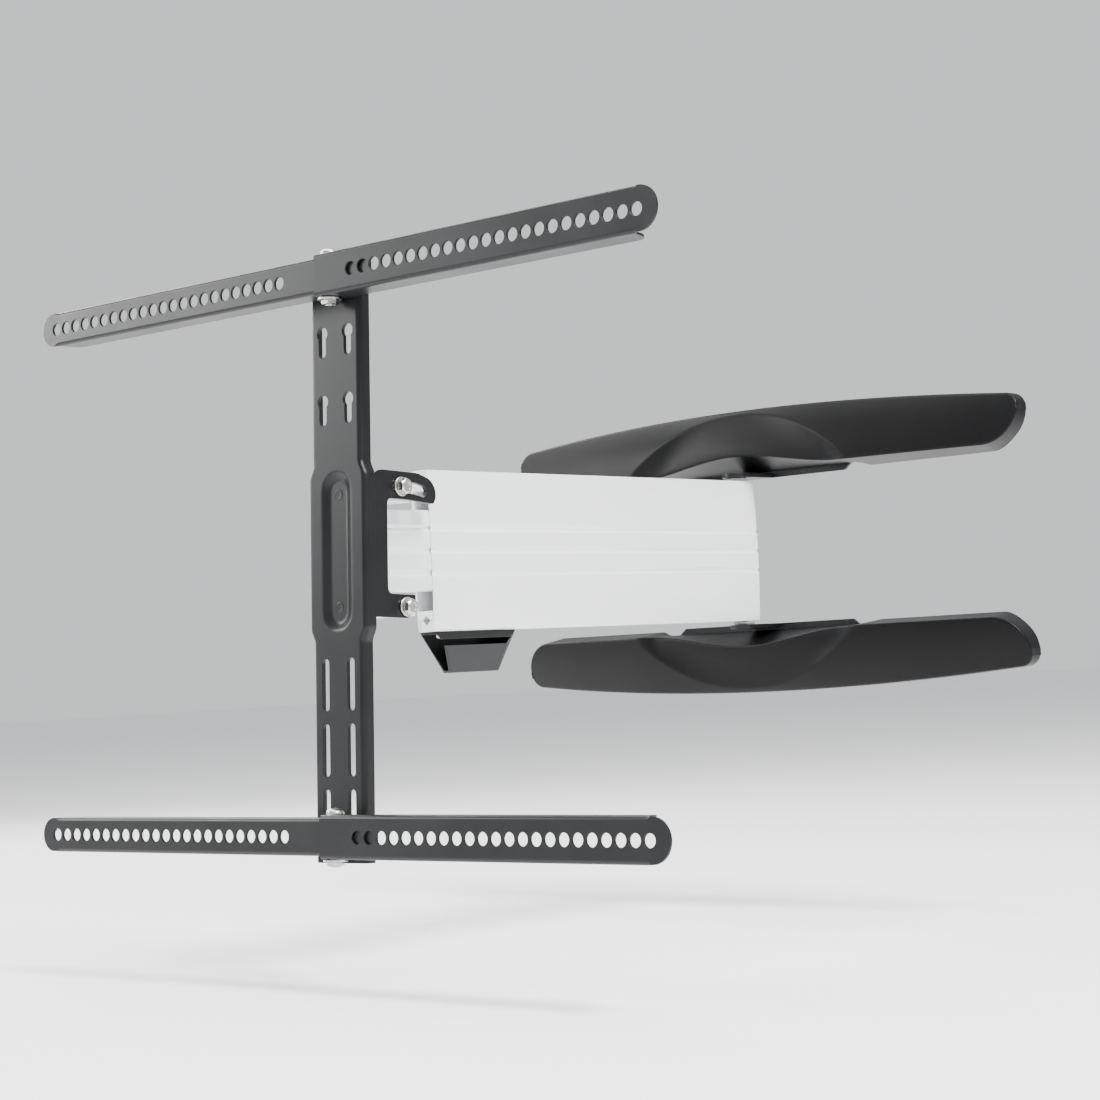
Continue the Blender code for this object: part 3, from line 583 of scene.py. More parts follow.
def cover_shell(look, side, name, cad_node):
    outline = cover_outline(look)
    spine_half = look.half_length - 30.0
    radius = look.lip_radius
    rings = [[] for _ in range(2 + 5 + 16)]
    for x, z in outline:
        low = z < look.lip + 14.0 and abs(x) < look.half_length - 8.0
        shut = smoothstep((abs(x) - 104.0) / 14.0) if low else 1.0
        spine_x = max(-spine_half, min(spine_half, x))
        spine_z = 0.5 * (lip_at(look, spine_x) + far_edge_at(look, spine_x))
        reach = hypot(spine_x - x, spine_z - z)
        toward = ((spine_x - x) / reach, (spine_z - z) / reach)
        front = -face_depth(look, x, z)
        low_end = smoothstep((look.half_length - 8.0 - abs(x)) / 24.0) if low else 0.0
        rear = look.rear + shut * (z - 4.0 * low_end - look.rear)
        rings[0].append((x, -4.4 + 3.8 * shut, rear))
        rings[1].append((x, front + radius + 0.6, z))
        for step in range(5):
            angle = radians(90.0 * step / 4)
            off = radius * (1.0 - cos(angle))
            px, pz = x + toward[0] * off, z + toward[1] * off
            rings[2 + step].append((px, -face_depth(look, px, pz) + radius * (1.0 - sin(angle)), pz))
        for step in range(16):
            off = radius + (reach - radius) * (step + 1) / 16
            px, pz = x + toward[0] * off, z + toward[1] * off
            rings[7 + step].append((px, -face_depth(look, px, pz), pz))
    bm = bmesh.new()
    verts = [[bm.verts.new((x, y, side * z)) for x, y, z in ring] for ring in rings]
    count = len(outline)
    for near, far in zip(verts, verts[1:]):
        for i in range(count):
            bm.faces.new((near[i], near[(i + 1) % count], far[(i + 1) % count], far[i]))
    bmesh.ops.remove_doubles(bm, verts=bm.verts, dist=0.02)
    bmesh.ops.recalc_face_normals(bm, faces=bm.faces)
    if sum(face.normal.y * face.calc_area() for face in bm.faces) > 0.0:
        bmesh.ops.reverse_faces(bm, faces=bm.faces)
    obj = mesh_object(bm)
    shell = obj.modifiers.new("wall", "SOLIDIFY")
    shell.thickness = look.wall
    shell.offset = -1.0
    baked(obj)
    obj.data.shade_smooth()
    obj.data.set_sharp_from_angle(angle=radians(50.0))
    return settle(obj, name, "wall", "black_plastic", cad_node)


class MOUNT_OT_wall_covers(bpy.types.Operator):
    """Mould the two wing-shaped covers, with their dished arches over the hinge"""
    bl_idname = "mount.wall_covers"
    bl_label = "Wall covers"

    def execute(self, context):
        look = context.scene.mount_covers
        cover_shell(look, 1, "cover_shell_upper", "cover_upper")
        cover_shell(look, -1, "cover_shell_lower", "cover_lower")
        return {"FINISHED"}


# ---------------------------------------------------------------- wall brackets and hinge

HINGE_REACH = 62.9      # half the hinge shaft's length, and the far face of the rings
RING_LOW = 60.3         # near face of the rings
SCREW_SEAT = 65.1       # seat of the hinge screws' sunk heads, from the arm's mid height
WALL_AXIS = -JOINTS["wall_swivel"].y / MM
PIN_R = 4.0
SHAFT_R = 6.0           # the hinge shaft's thicker ends


def domed_head(radius, height, shank, length, socket=2.4):
    """Profile of a domed socket head above z = 0 with its shank below."""
    dome = [(radius * cos(radians(a)), 0.25 * height + 0.75 * height * sin(radians(a)))
            for a in range(0, 61, 12)]
    flat = dome[-1][1]
    stem = [(0.0, -length), (shank - 0.4, -length), (shank, -length + 0.4), (shank, 0.0), (radius, 0.0)]
    recess = [(socket + 0.3, flat + 0.06 * height), (socket, flat - 0.1), (socket * 0.92, flat - 1.6),
              (0.0, flat - 2.0)]
    return stem + dome + recess


class MOUNT_OT_wall_hinge(bpy.types.Operator):
    """Ease the two wall brackets and turn the hinge shaft, its screws and rings"""
    bl_idname = "mount.wall_hinge"
    bl_label = "Wall brackets and hinge"

    def execute(self, context):
        for word in ("upper", "lower"):
            eased_copy("bracket_" + word, "wall", "black_steel", 0.5, "wall_bracket_" + word)
        centre = (0.0, -WALL_AXIS)
        end, neck = HINGE_REACH, HINGE_REACH - 20.0
        half = [(0.0, -end), (5.4, -end), (SHAFT_R, -end + 0.6), (SHAFT_R, -neck - 1.0), (PIN_R, -neck)]
        profile = half + [(r, -z) for r, z in reversed(half)]
        settle(turned(profile, "z", centre), "shaft", "wall", "zinc_steel", "hinge_shaft")
        polished(bpy.data.objects["shaft"])
        screw = turned([(0.0, -14.2), (2.6, -14.2), (3.0, -13.8), (3.0, 0.0), (6.0, 0.0), (6.0, 1.5),
                        (5.6, 1.9), (2.7, 1.9), (2.5, 1.7), (2.4, 0.5), (0.0, 0.3)], "z")
        set_fasteners(screw, [((*centre, SCREW_SEAT), (0, 0, 0)), ((*centre, -SCREW_SEAT), (180, 0, 0))],
                      "hinge_screws", "wall", "zinc_steel", "hinge_screw_upper", "hinge_screw_lower")
        low, high = RING_LOW, HINGE_REACH
        ring = turned([(6.3, low), (8.6, low), (9.0, low + 0.4), (9.0, high - 0.4), (8.6, high),
                       (6.3, high)], "z")
        set_fasteners(ring, [((*centre, 0.0), (0, 0, 0)), ((*centre, 0.0), (180, 0, 0))],
                      "hinge_rings", "wall", "grey_nylon", "hinge_washer_upper", "hinge_washer_lower")
        return {"FINISHED"}


# ---------------------------------------------------------------- arm, with the hinge shaft at y = 0

class ArmSettings(bpy.types.PropertyGroup):
    shell_rise: mm("Shell half height", "Half the skins' height", 60.0)
    shell_edge: mm("Edge", "Half thickness at top and bottom", 8.2)
    shell_middle: mm("Middle", "Half thickness at mid height", 10.4)
    shell_wall: mm("Skin", "Skin thickness", 1.8)
    groove_spacing: mm("Groove spacing", "Between groove lines", 16.5)
    groove_depth: mm("Groove depth", "Depth of each groove", 1.4)
    beam_half: mm("Beam half width", "Half the beam's thickness", 8.0)
    beam_rise: mm("Beam half height", "Half the beam's height", 30.0)


GAP = 0.3
SHELL_PAST = 12.0
SHELL_SHORT = 47.0
BEAM_INSET = 14.0
SEAM_Z = 51.7           # height of the skins' overlap above and below the arm's middle
PORT = 3.8              # half size of the diamond screw port on the seam


def grooved(look, outer, low, high, spacing):
    """Outline points from low to high with three rounded grooves; outer gives the surface at a height."""
    count = max(2, int((high - low) / spacing))
    heights = {low + (high - low) * i / count for i in range(count + 1)}
    grooves = [i * look.groove_spacing for i in (-1, 0, 1)]
    heights = {z for z in heights if all(abs(z - g) > 3.4 for g in grooves)}
    for g in grooves:
        heights |= {g + d * side for d in (0.0, 0.4, 0.8, 1.2, 1.6, 2.0, 2.3, 2.6, 3.1) for side in (-1, 1)}
    points = []
    for z in sorted(heights):
        near = min(abs(z - g) for g in grooves)
        sunk = look.groove_depth * max(0.0, 1.0 - (near / 2.0) ** 2) if near < 2.0 else 0.0
        raised = 0.25 * sin(pi * (near - 2.0) / 1.2) if 2.0 < near < 3.2 else 0.0
        points.append((outer(z) - sunk + raised, z))
    return points


def skin_half(look, z):
    bulge = max(0.0, cos(pi / 2 * z / look.shell_rise)) ** 0.75
    return look.shell_edge + (look.shell_middle - look.shell_edge) * bulge


def skin_profile(look, right):
    """Right skin: outer wall with a thick sill and head. Left skin: outer wall with a shelf inside each."""
    rise, wall, seam = look.shell_rise, look.shell_wall, SEAM_Z
    outer = grooved(look, lambda z: skin_half(look, z), -rise, rise, 2.5)
    inside = [(skin_half(look, z) - wall, z) for z in (44.0, 38.0, 31.0)]
    inner = inside + [(look.beam_half + GAP, 30.4), (look.beam_half + GAP, -30.4)]
    inner += [(x, -z) for x, z in reversed(inside)]
    far = look.shell_edge - wall - GAP
    if right:
        head = [(-far, rise), (-far, seam + GAP / 2), (-PORT, seam + GAP / 2), (0.0, seam + PORT),
                (PORT, seam + GAP / 2), (skin_half(look, seam) - wall, seam + GAP / 2)]
        return outer + head + inner + [(x, -z) for x, z in reversed(head)]
    under = seam - GAP / 2
    shelf = 7.0
    reach = skin_half(look, seam) - wall - GAP
    top_in = look.shell_edge - wall
    shelf_run = [(top_in, rise), (skin_half(look, seam) - wall, under), (PORT, under), (0.0, seam - PORT),
                 (-PORT, under), (-reach, under), (-reach, under - shelf),
                 (skin_half(look, under - shelf) - wall, under - shelf)]
    return outer + shelf_run + inner + [(x, -z) for x, z in reversed(shelf_run)]


def eased_extrusion(outline, low, high, side, chamfer=0.4):
    """Extrude along the arm with a broken edge at both ends."""
    count = len(outline)
    inset = []
    for i in range(count):
        run = Vector(outline[(i + 1) % count]) - Vector(outline[i - 1])
        inward = Vector((-run.y, run.x)).normalized() * 0.25
        inset.append((outline[i][0] + inward.x, outline[i][1] + inward.y))
    levels = ((inset, low), (outline, low + chamfer), (outline, high - chamfer), (inset, high))
    obj = loft([[(side * u, w, v) for u, v in ring] for ring, w in levels])
    return polished(obj, 30.0)


class MOUNT_OT_arm(bpy.types.Operator):
    """Extrude the arm's beam and two bowed skins, and ease the hinge ends"""
    bl_idname = "mount.arm"
    bl_label = "Arm"

    def execute(self, context):
        look = context.scene.mount_arm
        low, high = -(ARM_SPAN - SHELL_SHORT), SHELL_PAST
        for side, word in ((1, "right"), (-1, "left")):
            skin = eased_extrusion(skin_profile(look, side > 0), low, high, side)
            bore, deep = SHAFT_R + GAP, look.shell_rise - 17.0
            cut(skin, rod(bore, "z", (0.0, 0.0), deep, 62.0), rod(bore, "z", (0.0, 0.0), -62.0, -deep))
            polished(skin, 30.0)
            settle(skin, "arm_skin_" + word, "arm", "silver_aluminium", "arm_shell_" + word)
        run = grooved(look, lambda z: look.beam_half, -look.beam_rise + 1.2, look.beam_rise - 1.2, 6.0)
        corner = [(look.beam_half - 1.2, look.beam_rise)]
        half = [(look.beam_half - 1.2, -look.beam_rise)] + run + corner
        outline = half + [(-x, z) for x, z in reversed(half)]
        bar = eased_extrusion(outline, -(ARM_SPAN - BEAM_INSET), -BEAM_INSET, 1)
        settle(bar, "beam", "arm", "silver_aluminium", "arm_beam")
        for word in ("wall", "screen"):
            self.knuckle(look, word)
        return {"FINISHED"}

    def knuckle(self, look, word):
        """A rounded hinge end with the beam's grooves wrapped round it, and its bearing sleeve."""
        centre, towards = (0.0, -1.0) if word == "wall" else (-ARM_SPAN, 1.0)
        seat = towards * (BEAM_INSET - GAP)
        rise = look.beam_rise
        run = grooved(look, lambda z: 0.0, -rise + 0.8, rise - 0.8, 8.0)
        levels = [(-0.8, -rise)] + run + [(-0.8, rise)]
        rings = []
        for off, z in levels:
            reach = look.beam_half + off
            nose = [(reach * cos(a), -towards * reach * sin(a)) for a in (pi * i / 24 for i in range(25))]
            ring = nose + [(-reach, seat), (reach, seat)]
            rings.append([(x, centre + y, z) for x, y in ring])
        head = loft(rings)
        cut(head, rod(5.7, "z", (0.0, centre), -rise - 1.0, rise + 1.0))
        settle(polished(head, 32.0), "hinge_end_" + word, "arm", "silver_aluminium", word + "_knuckle")
        sleeve = turned([(4.3, -rise), (5.4, -rise), (5.4, rise), (4.3, rise)], "z", (0.0, centre))
        settle(polished(sleeve), "sleeve_" + word, "arm", "grey_nylon", word + "_bush")


class MOUNT_OT_cable_clip(bpy.types.Operator):
    """Fold the cable trough under the arm and set its screw"""
    bl_idname = "mount.cable_clip"
    bl_label = "Cable clip"

    def execute(self, context):
        eased_copy("cable_trough", "arm", "black_steel", 0.45, "cable_clip")
        lowest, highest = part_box("clip_screw")
        middle = (lowest + highest) / 2 - JOINTS["wall_swivel"]
        seat = (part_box("cable_clip")[1].z - JOINTS["wall_swivel"].z) / MM - 2.3
        screw = turned(domed_head(4.2, 3.1, 2.0, 6.0, 1.2), "z")
        set_fasteners(screw, [((middle.x / MM, middle.y / MM, seat), (180, 0, 0))], "trough_screw", "arm",
                      "zinc_steel", "clip_screw")
        return {"FINISHED"}


# ---------------------------------------------------------------- swivel head

CHEEK_IN = 23.0
CHEEK_OUT = 26.5
SLOT_R = 87.0           # tilt axis to the upper bolts
FORK_BELOW = 6.5        # the fork and its pin end this far below the tilt axis


def hexagon_bolt(across, head, shank, length):
    """A hexagon head with its corners turned off, above z = 0, and its shank below."""
    corner = across / 2 / cos(pi / 6)
    body = prism(arc((0.0, 0.0), corner, 0.0, 360.0, 6)[:-1], "z", 0.0, head)
    crown = turned([(0.0, -1.0), (corner + 1.0, -1.0), (corner + 1.0, head - 1.5),
                    (corner - 0.3, head - 0.9), (across / 2 - 0.6, head + 0.01), (0.0, head + 0.01)], "z")
    combine(body, [crown], "INTERSECT")
    dimple = turned([(0.0, head - 0.5), (across / 2 - 2.4, head - 0.5), (across / 2 - 1.6, head + 0.5),
                     (0.0, head + 0.5)], "z")
    cut(body, dimple)
    stem = [(0.0, -length), (shank - 0.5, -length), (shank, -length + 0.6), (shank, 0.5), (0.0, 0.5)]
    return add(body, turned(stem, "z"))


class MOUNT_OT_swivel_head(bpy.types.Operator):
    """Ease the swivel fork, turn its pin and rings, and set the tilt bolts"""
    bl_idname = "mount.swivel_head"
    bl_label = "Swivel head"

    def execute(self, context):
        body = "swivel_head"
        fork = from_frame("swivel_fork")
        square = [(-30.0, -30.0), (30.0, -30.0), (30.0, 30.0), (-30.0, 30.0)]
        below = prism(square, "z", -DROP - 20.0, -DROP - FORK_BELOW)
        below.data.transform(PLACES[body])
        cut(fork, below)
        settle(eased(fork, 0.8 * MM, 2, 40.0), "fork", body, "silver_aluminium", "swivel_fork", placed=True)
        top, foot = SLOT_R - DROP + 9.3, -DROP - FORK_BELOW
        pin = turned([(0.0, foot), (3.4, foot), (PIN_R, foot + 0.6), (PIN_R, top), (7.0, top),
                      (7.0, top + 1.9), (6.2, top + 2.8), (0.0, top + 2.8)], "z")
        settle(polished(pin), "pin", body, "zinc_steel", "swivel_pin")
        ring = turned([(4.3, 30.3), (7.6, 30.3), (8.0, 30.7), (8.0, 33.3), (7.6, 33.7), (4.3, 33.7)], "z")
        set_fasteners(ring, [((0, 0, 0), (0, 0, 0)), ((0, 0, 0), (180, 0, 0))], "fork_rings", body,
                      "grey_nylon", "swivel_washer_upper", "swivel_washer_lower")
        places = [((side * (CHEEK_OUT + GAP), 0.0, z), (0, side * 90, 0))
                  for z in (-DROP, SLOT_R - DROP) for side in (1, -1)]
        names = [height + "_" + word for height in ("lower", "upper") for word in ("right", "left")]
        washer = turned([(4.3, 0.0), (6.7, 0.0), (7.0, 0.3), (7.0, 1.3), (6.7, 1.6), (4.3, 1.6)], "z")
        set_fasteners(washer, places, "tilt_washers", body, "zinc_steel",
                      *["tilt_washer_" + n for n in names])
        seats = [((x + (1.9 if x > 0 else -1.9), y, z), turn) for (x, y, z), turn in places]
        set_fasteners(hexagon_bolt(10.0, 5.5, 4.0, 21.0), seats, "tilt_bolts", body, "zinc_steel",
                      *["tilt_bolt_" + n for n in names])
        return {"FINISHED"}


# ---------------------------------------------------------------- screen frame, upright, swivel pin at y = 0

class ColumnSettings(bpy.types.PropertyGroup):
    front: mm("Front", "Front face from the swivel pin", -43.0)
    half: mm("Half width", "Half the column's width", 25.7)
    wide: mm("Half width, middle", "Half width round the pressing", 29.6)
    depth: mm("Depth", "Front face to the flanges' edge", 10.0)
    bend: mm("Bend radius", "Outer radius of the bends", 4.2)
    steel: mm("Sheet", "Sheet thickness", 2.5)
    top: mm("Top", "Top end above the arm's middle", 208.0)
    foot: mm("Foot", "Lower end", -224.0)
    press_depth: mm("Pressing depth", "Depth of the stadium pressing", 2.4)


class RailSettings(bpy.types.PropertyGroup):
    middle: mm("Middle", "Mid height between the rails", -5.0)
    spread: mm("Spread", "Upper rail to lower rail", 400.0)
    front: mm("Front", "Front face from the swivel pin", -64.0)
    end: mm("End", "Centre to the rail's tip", 317.0)
    half: mm("Half height", "Half the outer rail's height", 15.5)
    steel: mm("Sheet", "Sheet thickness", 1.8)
    bend: mm("Bend radius", "Outer radius of the bends", 3.0)
    hole_radius: mm("Hole radius", "Radius of the screen holes", 4.7)
    hole_count: IntProperty(name="Holes", description="Holes in half a rail", default=23, min=1)
    hole_first: mm("First hole", "Centre to the first hole", 38.2)
    hole_last: mm("Last hole", "Centre to the last hole", 300.0)


FLANGE_BACK = -43.3     # rear edge of the rails' flanges
SEAM = 1.0              # the outer half of a rail starts here
NEST = 56.0             # the inner half runs on to here
RAIL_BOLT = (6.0, -53.0)
RIVETS = (-42.5, 38.5)
PRESS_MIDDLE = -2.0
PRESS_HALF_LONG = 57.0
PRESS_HALF = 14.4
PRESS_SLOPE = 5.4


def channel(stations, shape, flat_steps):
    """A bent sheet from rows of (place, half width, bend radius, flange); shape maps it into space."""
    bm = bmesh.new()
    rows = []
    for place, half, bend, flange in stations:
        turns = [pi / 2 * i / 7 for i in range(8)]
        side = [(half - bend + bend * sin(a), bend * (1.0 - cos(a))) for a in turns]
        side += [(half, bend + flange * share) for share in (0.5, 1.0)]
        flat = [((half - bend) * (2.0 * i / flat_steps - 1.0), 0.0) for i in range(1, flat_steps)]
        row = [(-across, deep) for across, deep in reversed(side)] + flat + side
        rows.append([bm.verts.new(shape(place, across, deep)) for across, deep in row])
    for near, far in zip(rows, rows[1:]):
        for i in range(len(near) - 1):
            bm.faces.new((near[i], near[i + 1], far[i + 1], far[i]))
    bmesh.ops.remove_doubles(bm, verts=bm.verts, dist=0.02)
    bmesh.ops.dissolve_degenerate(bm, edges=bm.edges, dist=0.01)
    bmesh.ops.recalc_face_normals(bm, faces=bm.faces)
    if sum(face.normal.y * face.calc_area() for face in bm.faces) > 0.0:
        bmesh.ops.reverse_faces(bm, faces=bm.faces)
    return mesh_object(bm)


def thicken(obj, sheet, edge=0.3):
    """Give the sheet its thickness and break its cut edges."""
    wall = obj.modifiers.new("sheet", "SOLIDIFY")
    wall.thickness = sheet
    wall.offset = -1.0
    wall.use_even_offset = True
    rim = obj.modifiers.new("rim", "BEVEL")
    rim.width = edge
    rim.segments = 2
    rim.limit_method = "ANGLE"
    rim.angle_limit = radians(50.0)
    return baked(obj)


def rail_stations(look, half, outer, deep):
    """Rows along half a rail: straight, then the flanges run out and the tip is rounded."""
    start = SEAM if outer else -NEST
    flange = deep - look.bend
    tip = half - 0.4
    tip_centre = look.end - tip
    run_out, run_end = look.end - 31.0, look.end - 20.0
    rows = [(start, half, look.bend, flange), (run_out, half, look.bend, flange)]
    for i in range(1, 9):
        x = run_out + (run_end - run_out) * i / 8
        share = (x - run_out) / (run_end - run_out)
        rows.append((x, half, look.bend, flange * sqrt(max(0.0, 1.0 - share ** 2))))
    for i in range(1, 6):
        fade = smoothstep(i / 5)
        rows.append((run_end + (tip_centre - run_end) * i / 5, half + (tip - half) * fade,
                     look.bend * (1.0 - fade) + 0.01 * fade, 0.0))
    for i in range(1, 17):
        angle = pi / 2 * i / 16
        rows.append((tip_centre + tip * sin(angle), max(0.02, tip * cos(angle)), 0.01, 0.0))
    return rows


class MOUNT_OT_rails(bpy.types.Operator):
    """Bend the four rail halves and punch their rows of holes"""
    bl_idname = "mount.rails"
    bl_label = "Screen rails"

    def execute(self, context):
        look = context.scene.mount_rails
        for turn, height in ((1, "upper"), (-1, "lower")):
            level = look.middle + turn * look.spread / 2
            for side, word in ((1, "right"), (-1, "left")):
                self.half_rail(look, level, side, "%s_%s" % (height, word))
        return {"FINISHED"}

    def half_rail(self, look, level, side, words):
        outer = side > 0
        step = 0.0 if outer else look.steel + GAP
        half, front = look.half - step, look.front + step
        stations = rail_stations(look, half, outer, FLANGE_BACK - front)
        obj = channel(stations, lambda x, across, deep: (side * x, front + deep, level + across), 2)
        thicken(obj, look.steel)
        outline = arc((0.0, 0.0), look.hole_radius, 0.0, 360.0, 28)[:-1]
        punch = flared(outline, "y", front, front + look.steel + 1.0)
        pitch = (look.hole_last - look.hole_first) / (look.hole_count - 1)
        tree = bpy.data.node_groups.get("perforated sheet") or perforated_sheet_tree()
        run_tree(obj, tree, {"Punch": punch, "First Hole": (side * look.hole_first, 0.0, level),
                             "Hole Pitch": (side * pitch, 0.0, 0.0), "Hole Count": look.hole_count,
                             "Finish": finish_of("black_steel")})
        bpy.data.objects.remove(punch, do_unlink=True)
        settle(polished(obj, 32.0), "rail_half_" + words, "screen_frame", "black_steel", "rail_" + words)


def column_half(look, z):
    share = smoothstep((z + 68.0) / 11.0) * smoothstep((62.0 - z) / 11.0)
    return look.half + (look.wide - look.half) * share


def pressed(look, x, z):
    """How far the stadium pressing sinks at a point of the column's face."""
    straight = PRESS_HALF_LONG - PRESS_HALF
    beyond = max(0.0, abs(z - PRESS_MIDDLE) - straight)
    return look.press_depth * smoothstep((PRESS_HALF - hypot(x, beyond)) / PRESS_SLOPE)


class MOUNT_OT_column(bpy.types.Operator):
    """Press the column with its stadium pad, keyholes and slots, and close its two rivets"""
    bl_idname = "mount.column"
    bl_label = "Column"

    def execute(self, context):
        look = context.scene.mount_column
        pressed_from, pressed_to, step = -76.0, 72.0, 1.6
        count = int((pressed_to - pressed_from) / step)
        places = [look.foot, pressed_from - 20.0]
        places += [pressed_from + (pressed_to - pressed_from) * i / count for i in range(count + 1)]
        places += [pressed_to + 20.0, look.top]
        flange = look.depth - look.bend
        stations = [(z, column_half(look, z), look.bend, flange) for z in places]
        obj = channel(stations, lambda z, across, deep: (
            across, look.front + deep + pressed(look, across, z), z), 30)
        thicken(obj, look.steel)
        cut(obj, *self.punches(look))
        settle(polished(obj, 38.0), "pressed_column", "screen_frame", "black_steel", "column")
        floor = look.front + look.press_depth
        rivet = turned([(0.0, -0.05), (3.4, -0.22), (3.9, -0.2), (4.3, 0.05), (4.3, 0.6), (0.0, 0.6)], "y")
        places = [((0.0, floor, z), (0, 0, 0)) for z in RIVETS]
        set_fasteners(rivet, places, "flush_rivets", "screen_frame", "black_steel",
                      "column_rivet_lower", "column_rivet_upper")
        return {"FINISHED"}

    def punches(self, look):
        tools = []
        for x in (-13.0, 13.0):
            for z in (151.5, 101.8):
                outline = arc((x, z + 5.0), 5.0, -48.0, 228.0, 22) + arc((x, z - 9.0), 3.3, 180.0, 360.0, 12)
                tools.append(flared(outline, "y", look.front, look.front + look.steel + 1.0))
            for z in (-97.6, -144.2, -190.8):
                outline = arc((x, z + 15.5), 3.3, 0.0, 180.0, 12) + arc((x, z - 15.5), 3.3, 180.0, 360.0, 12)
                tools.append(flared(outline, "y", look.front, look.front + look.steel + 1.0))
        return tools


class MOUNT_OT_tilt_bracket(bpy.types.Operator):
    """Cut the two cheeks with their arc slots and join them with the web"""
    bl_idname = "mount.tilt_bracket"
    bl_label = "Tilt bracket"

    def execute(self, context):
        front, back = -37.8, -34.8
        spine = -18.0
        outline = rounded([
            (front, -50.0, 3.0), (2.0, -50.0, 2.0), (9.5, -44.0, 2.0), (9.5, -33.0, 1.0),
            (spine, -33.0, 5.0), (spine, 36.0, 5.0), (4.0, 36.0, 2.0), (30.0, 34.4, 2.0), (32.5, 40.0, 2.0),
            (31.5, 46.0, 2.0),
            (27.0, 52.0, 4.0), (14.0, 56.0, 4.0), (front + 10.0, 56.0, 6.0), (front, 46.0, 2.0)])
        body = prism([(-CHEEK_IN - 1.0, front), (CHEEK_IN + 1.0, front), (CHEEK_IN + 1.0, back),
                      (-CHEEK_IN - 1.0, back)], "z", -48.0, 45.0)
        for side in (-1, 1):
            low, high = sorted((side * CHEEK_IN, side * CHEEK_OUT))
            add(body, prism(outline, "x", low, high))
        half = 4.3
        first, last = 90.0 - 12.3, 90.0 + 5.3
        pivot = (0.0, -DROP)
        ends = [(SLOT_R * cos(radians(a)), SLOT_R * sin(radians(a)) - DROP) for a in (first, last)]
        slot = arc(pivot, SLOT_R + half, first, last, 16) + arc(ends[1], half, last, last + 180.0, 12)[1:-1]
        slot += arc(pivot, SLOT_R - half, last, first, 16)
        slot += arc(ends[0], half, first + 180.0, first + 360.0, 12)[1:-1]
        for low, high in ((CHEEK_IN - 1.0, CHEEK_OUT + 1.0), (-CHEEK_OUT - 1.0, -CHEEK_IN + 1.0)):
            cut(body, prism(slot, "x", low, high), rod(half, "x", pivot, low, high))
        eased(body, 0.45, 2, 40.0)
        settle(body, "cheeks_and_web", "screen_frame", "black_steel", "tilt_bracket")
        return {"FINISHED"}


class MOUNT_OT_rail_joints(bpy.types.Operator):
    """Ease the rail saddles and set the bolts, washers and nuts that hold the rail halves"""
    bl_idname = "mount.rail_joints"
    bl_label = "Rail joints"

    def execute(self, context):
        look = context.scene.mount_rails
        body = "screen_frame"
        levels = [look.middle + side * look.spread / 2 for side in (1, -1)]
        for word in ("upper", "lower"):
            eased_copy("saddle_" + word, body, "black_steel", 0.6, "rail_saddle_" + word)
        top, foot = look.half + GAP, -look.half - GAP
        bolt = turned(domed_head(6.6, 4.4, 3.0, 37.2, 2.2), "z")
        set_fasteners(bolt, [((*RAIL_BOLT, level + top), (0, 0, 0)) for level in levels], "rail_bolts", body,
                      "zinc_steel", "rail_bolt_upper", "rail_bolt_lower")
        washer = turned([(3.3, -1.5), (8.5, -1.5), (8.8, -1.2), (8.8, -0.3), (8.5, 0.0), (3.3, 0.0)], "z")
        seats = [((*RAIL_BOLT, level + foot), (0, 0, 0)) for level in levels]
        set_fasteners(washer, seats, "rail_washers", body, "zinc_steel", "rail_washer_upper",
                      "rail_washer_lower")
        nut = hexagon_bolt(11.0, 3.2, 3.2, 0.4)
        seats = [((*RAIL_BOLT, level + foot - 1.8), (180, 0, 0)) for level in levels]
        set_fasteners(nut, seats, "rail_nuts", body, "zinc_steel", "rail_nut_upper", "rail_nut_lower")
        return {"FINISHED"}


# ---------------------------------------------------------------- studio

class FinishSettings(bpy.types.PropertyGroup):
    steel_colour: shade("Powder coat", "Satin black", "#0c0d0e")
    steel_light: shade("Powder coat, light", "Lighter drift", "#111214")
    abs_colour: shade("ABS", "Moulded black", "#060607")
    abs_painted_highlight: shade("ABS grain", "Tops of the grain", "#0a0a0b")
    aluminium_colour: shade("Anodised", "Pale silver", "#f3f4f5")
    aluminium_dark: shade("Die lines", "Darker lines", "#eceef0")
    zinc_colour: shade("Zinc", "Bright plate", "#cfcfca")
    zinc_dark: shade("Zinc mottle", "Darker mottle", "#b5b4ae")
    nylon_colour: shade("Nylon", "Grey nylon", "#77797c")
    nylon_light: shade("Nylon flow", "Lighter flow", "#83858a")
    floor_colour: shade("Floor", "Studio paper", "#f4f4f5")


class StageSettings(bpy.types.PropertyGroup):
    camera_place: FloatVectorProperty(
        name="Camera", description="Where the camera stands", subtype="TRANSLATION", unit="LENGTH",
        default=(1.2810, -1.7426, -0.1756))
    yaw: FloatProperty(
        name="Yaw", description="Turn to the left from square-on, in degrees", default=41.289)
    pitch: FloatProperty(name="Pitch", description="Upward tilt, in degrees", default=2.658)
    roll: FloatProperty(name="Roll", description="Clockwise roll, in degrees", default=-2.967)
    lens: FloatProperty(name="Lens", description="Focal length", default=80.9, unit="CAMERA")
    floor_height: FloatProperty(
        name="Floor", description="Height of the floor", unit="LENGTH", default=-0.40)


def soft_light(name, place, target, size, power, colour="#ffffff"):
    data = bpy.data.lights.new(name, "AREA")
    data.shape = "RECTANGLE"
    data.size, data.size_y = size
    data.energy = power
    data.color = to_linear(colour)[:3]
    lamp = bpy.data.objects.new(name, data)
    bpy.context.scene.collection.objects.link(lamp)
    lamp.location = place
    lamp.rotation_euler = (Vector(target) - Vector(place)).to_track_quat("-Z", "Y").to_euler()


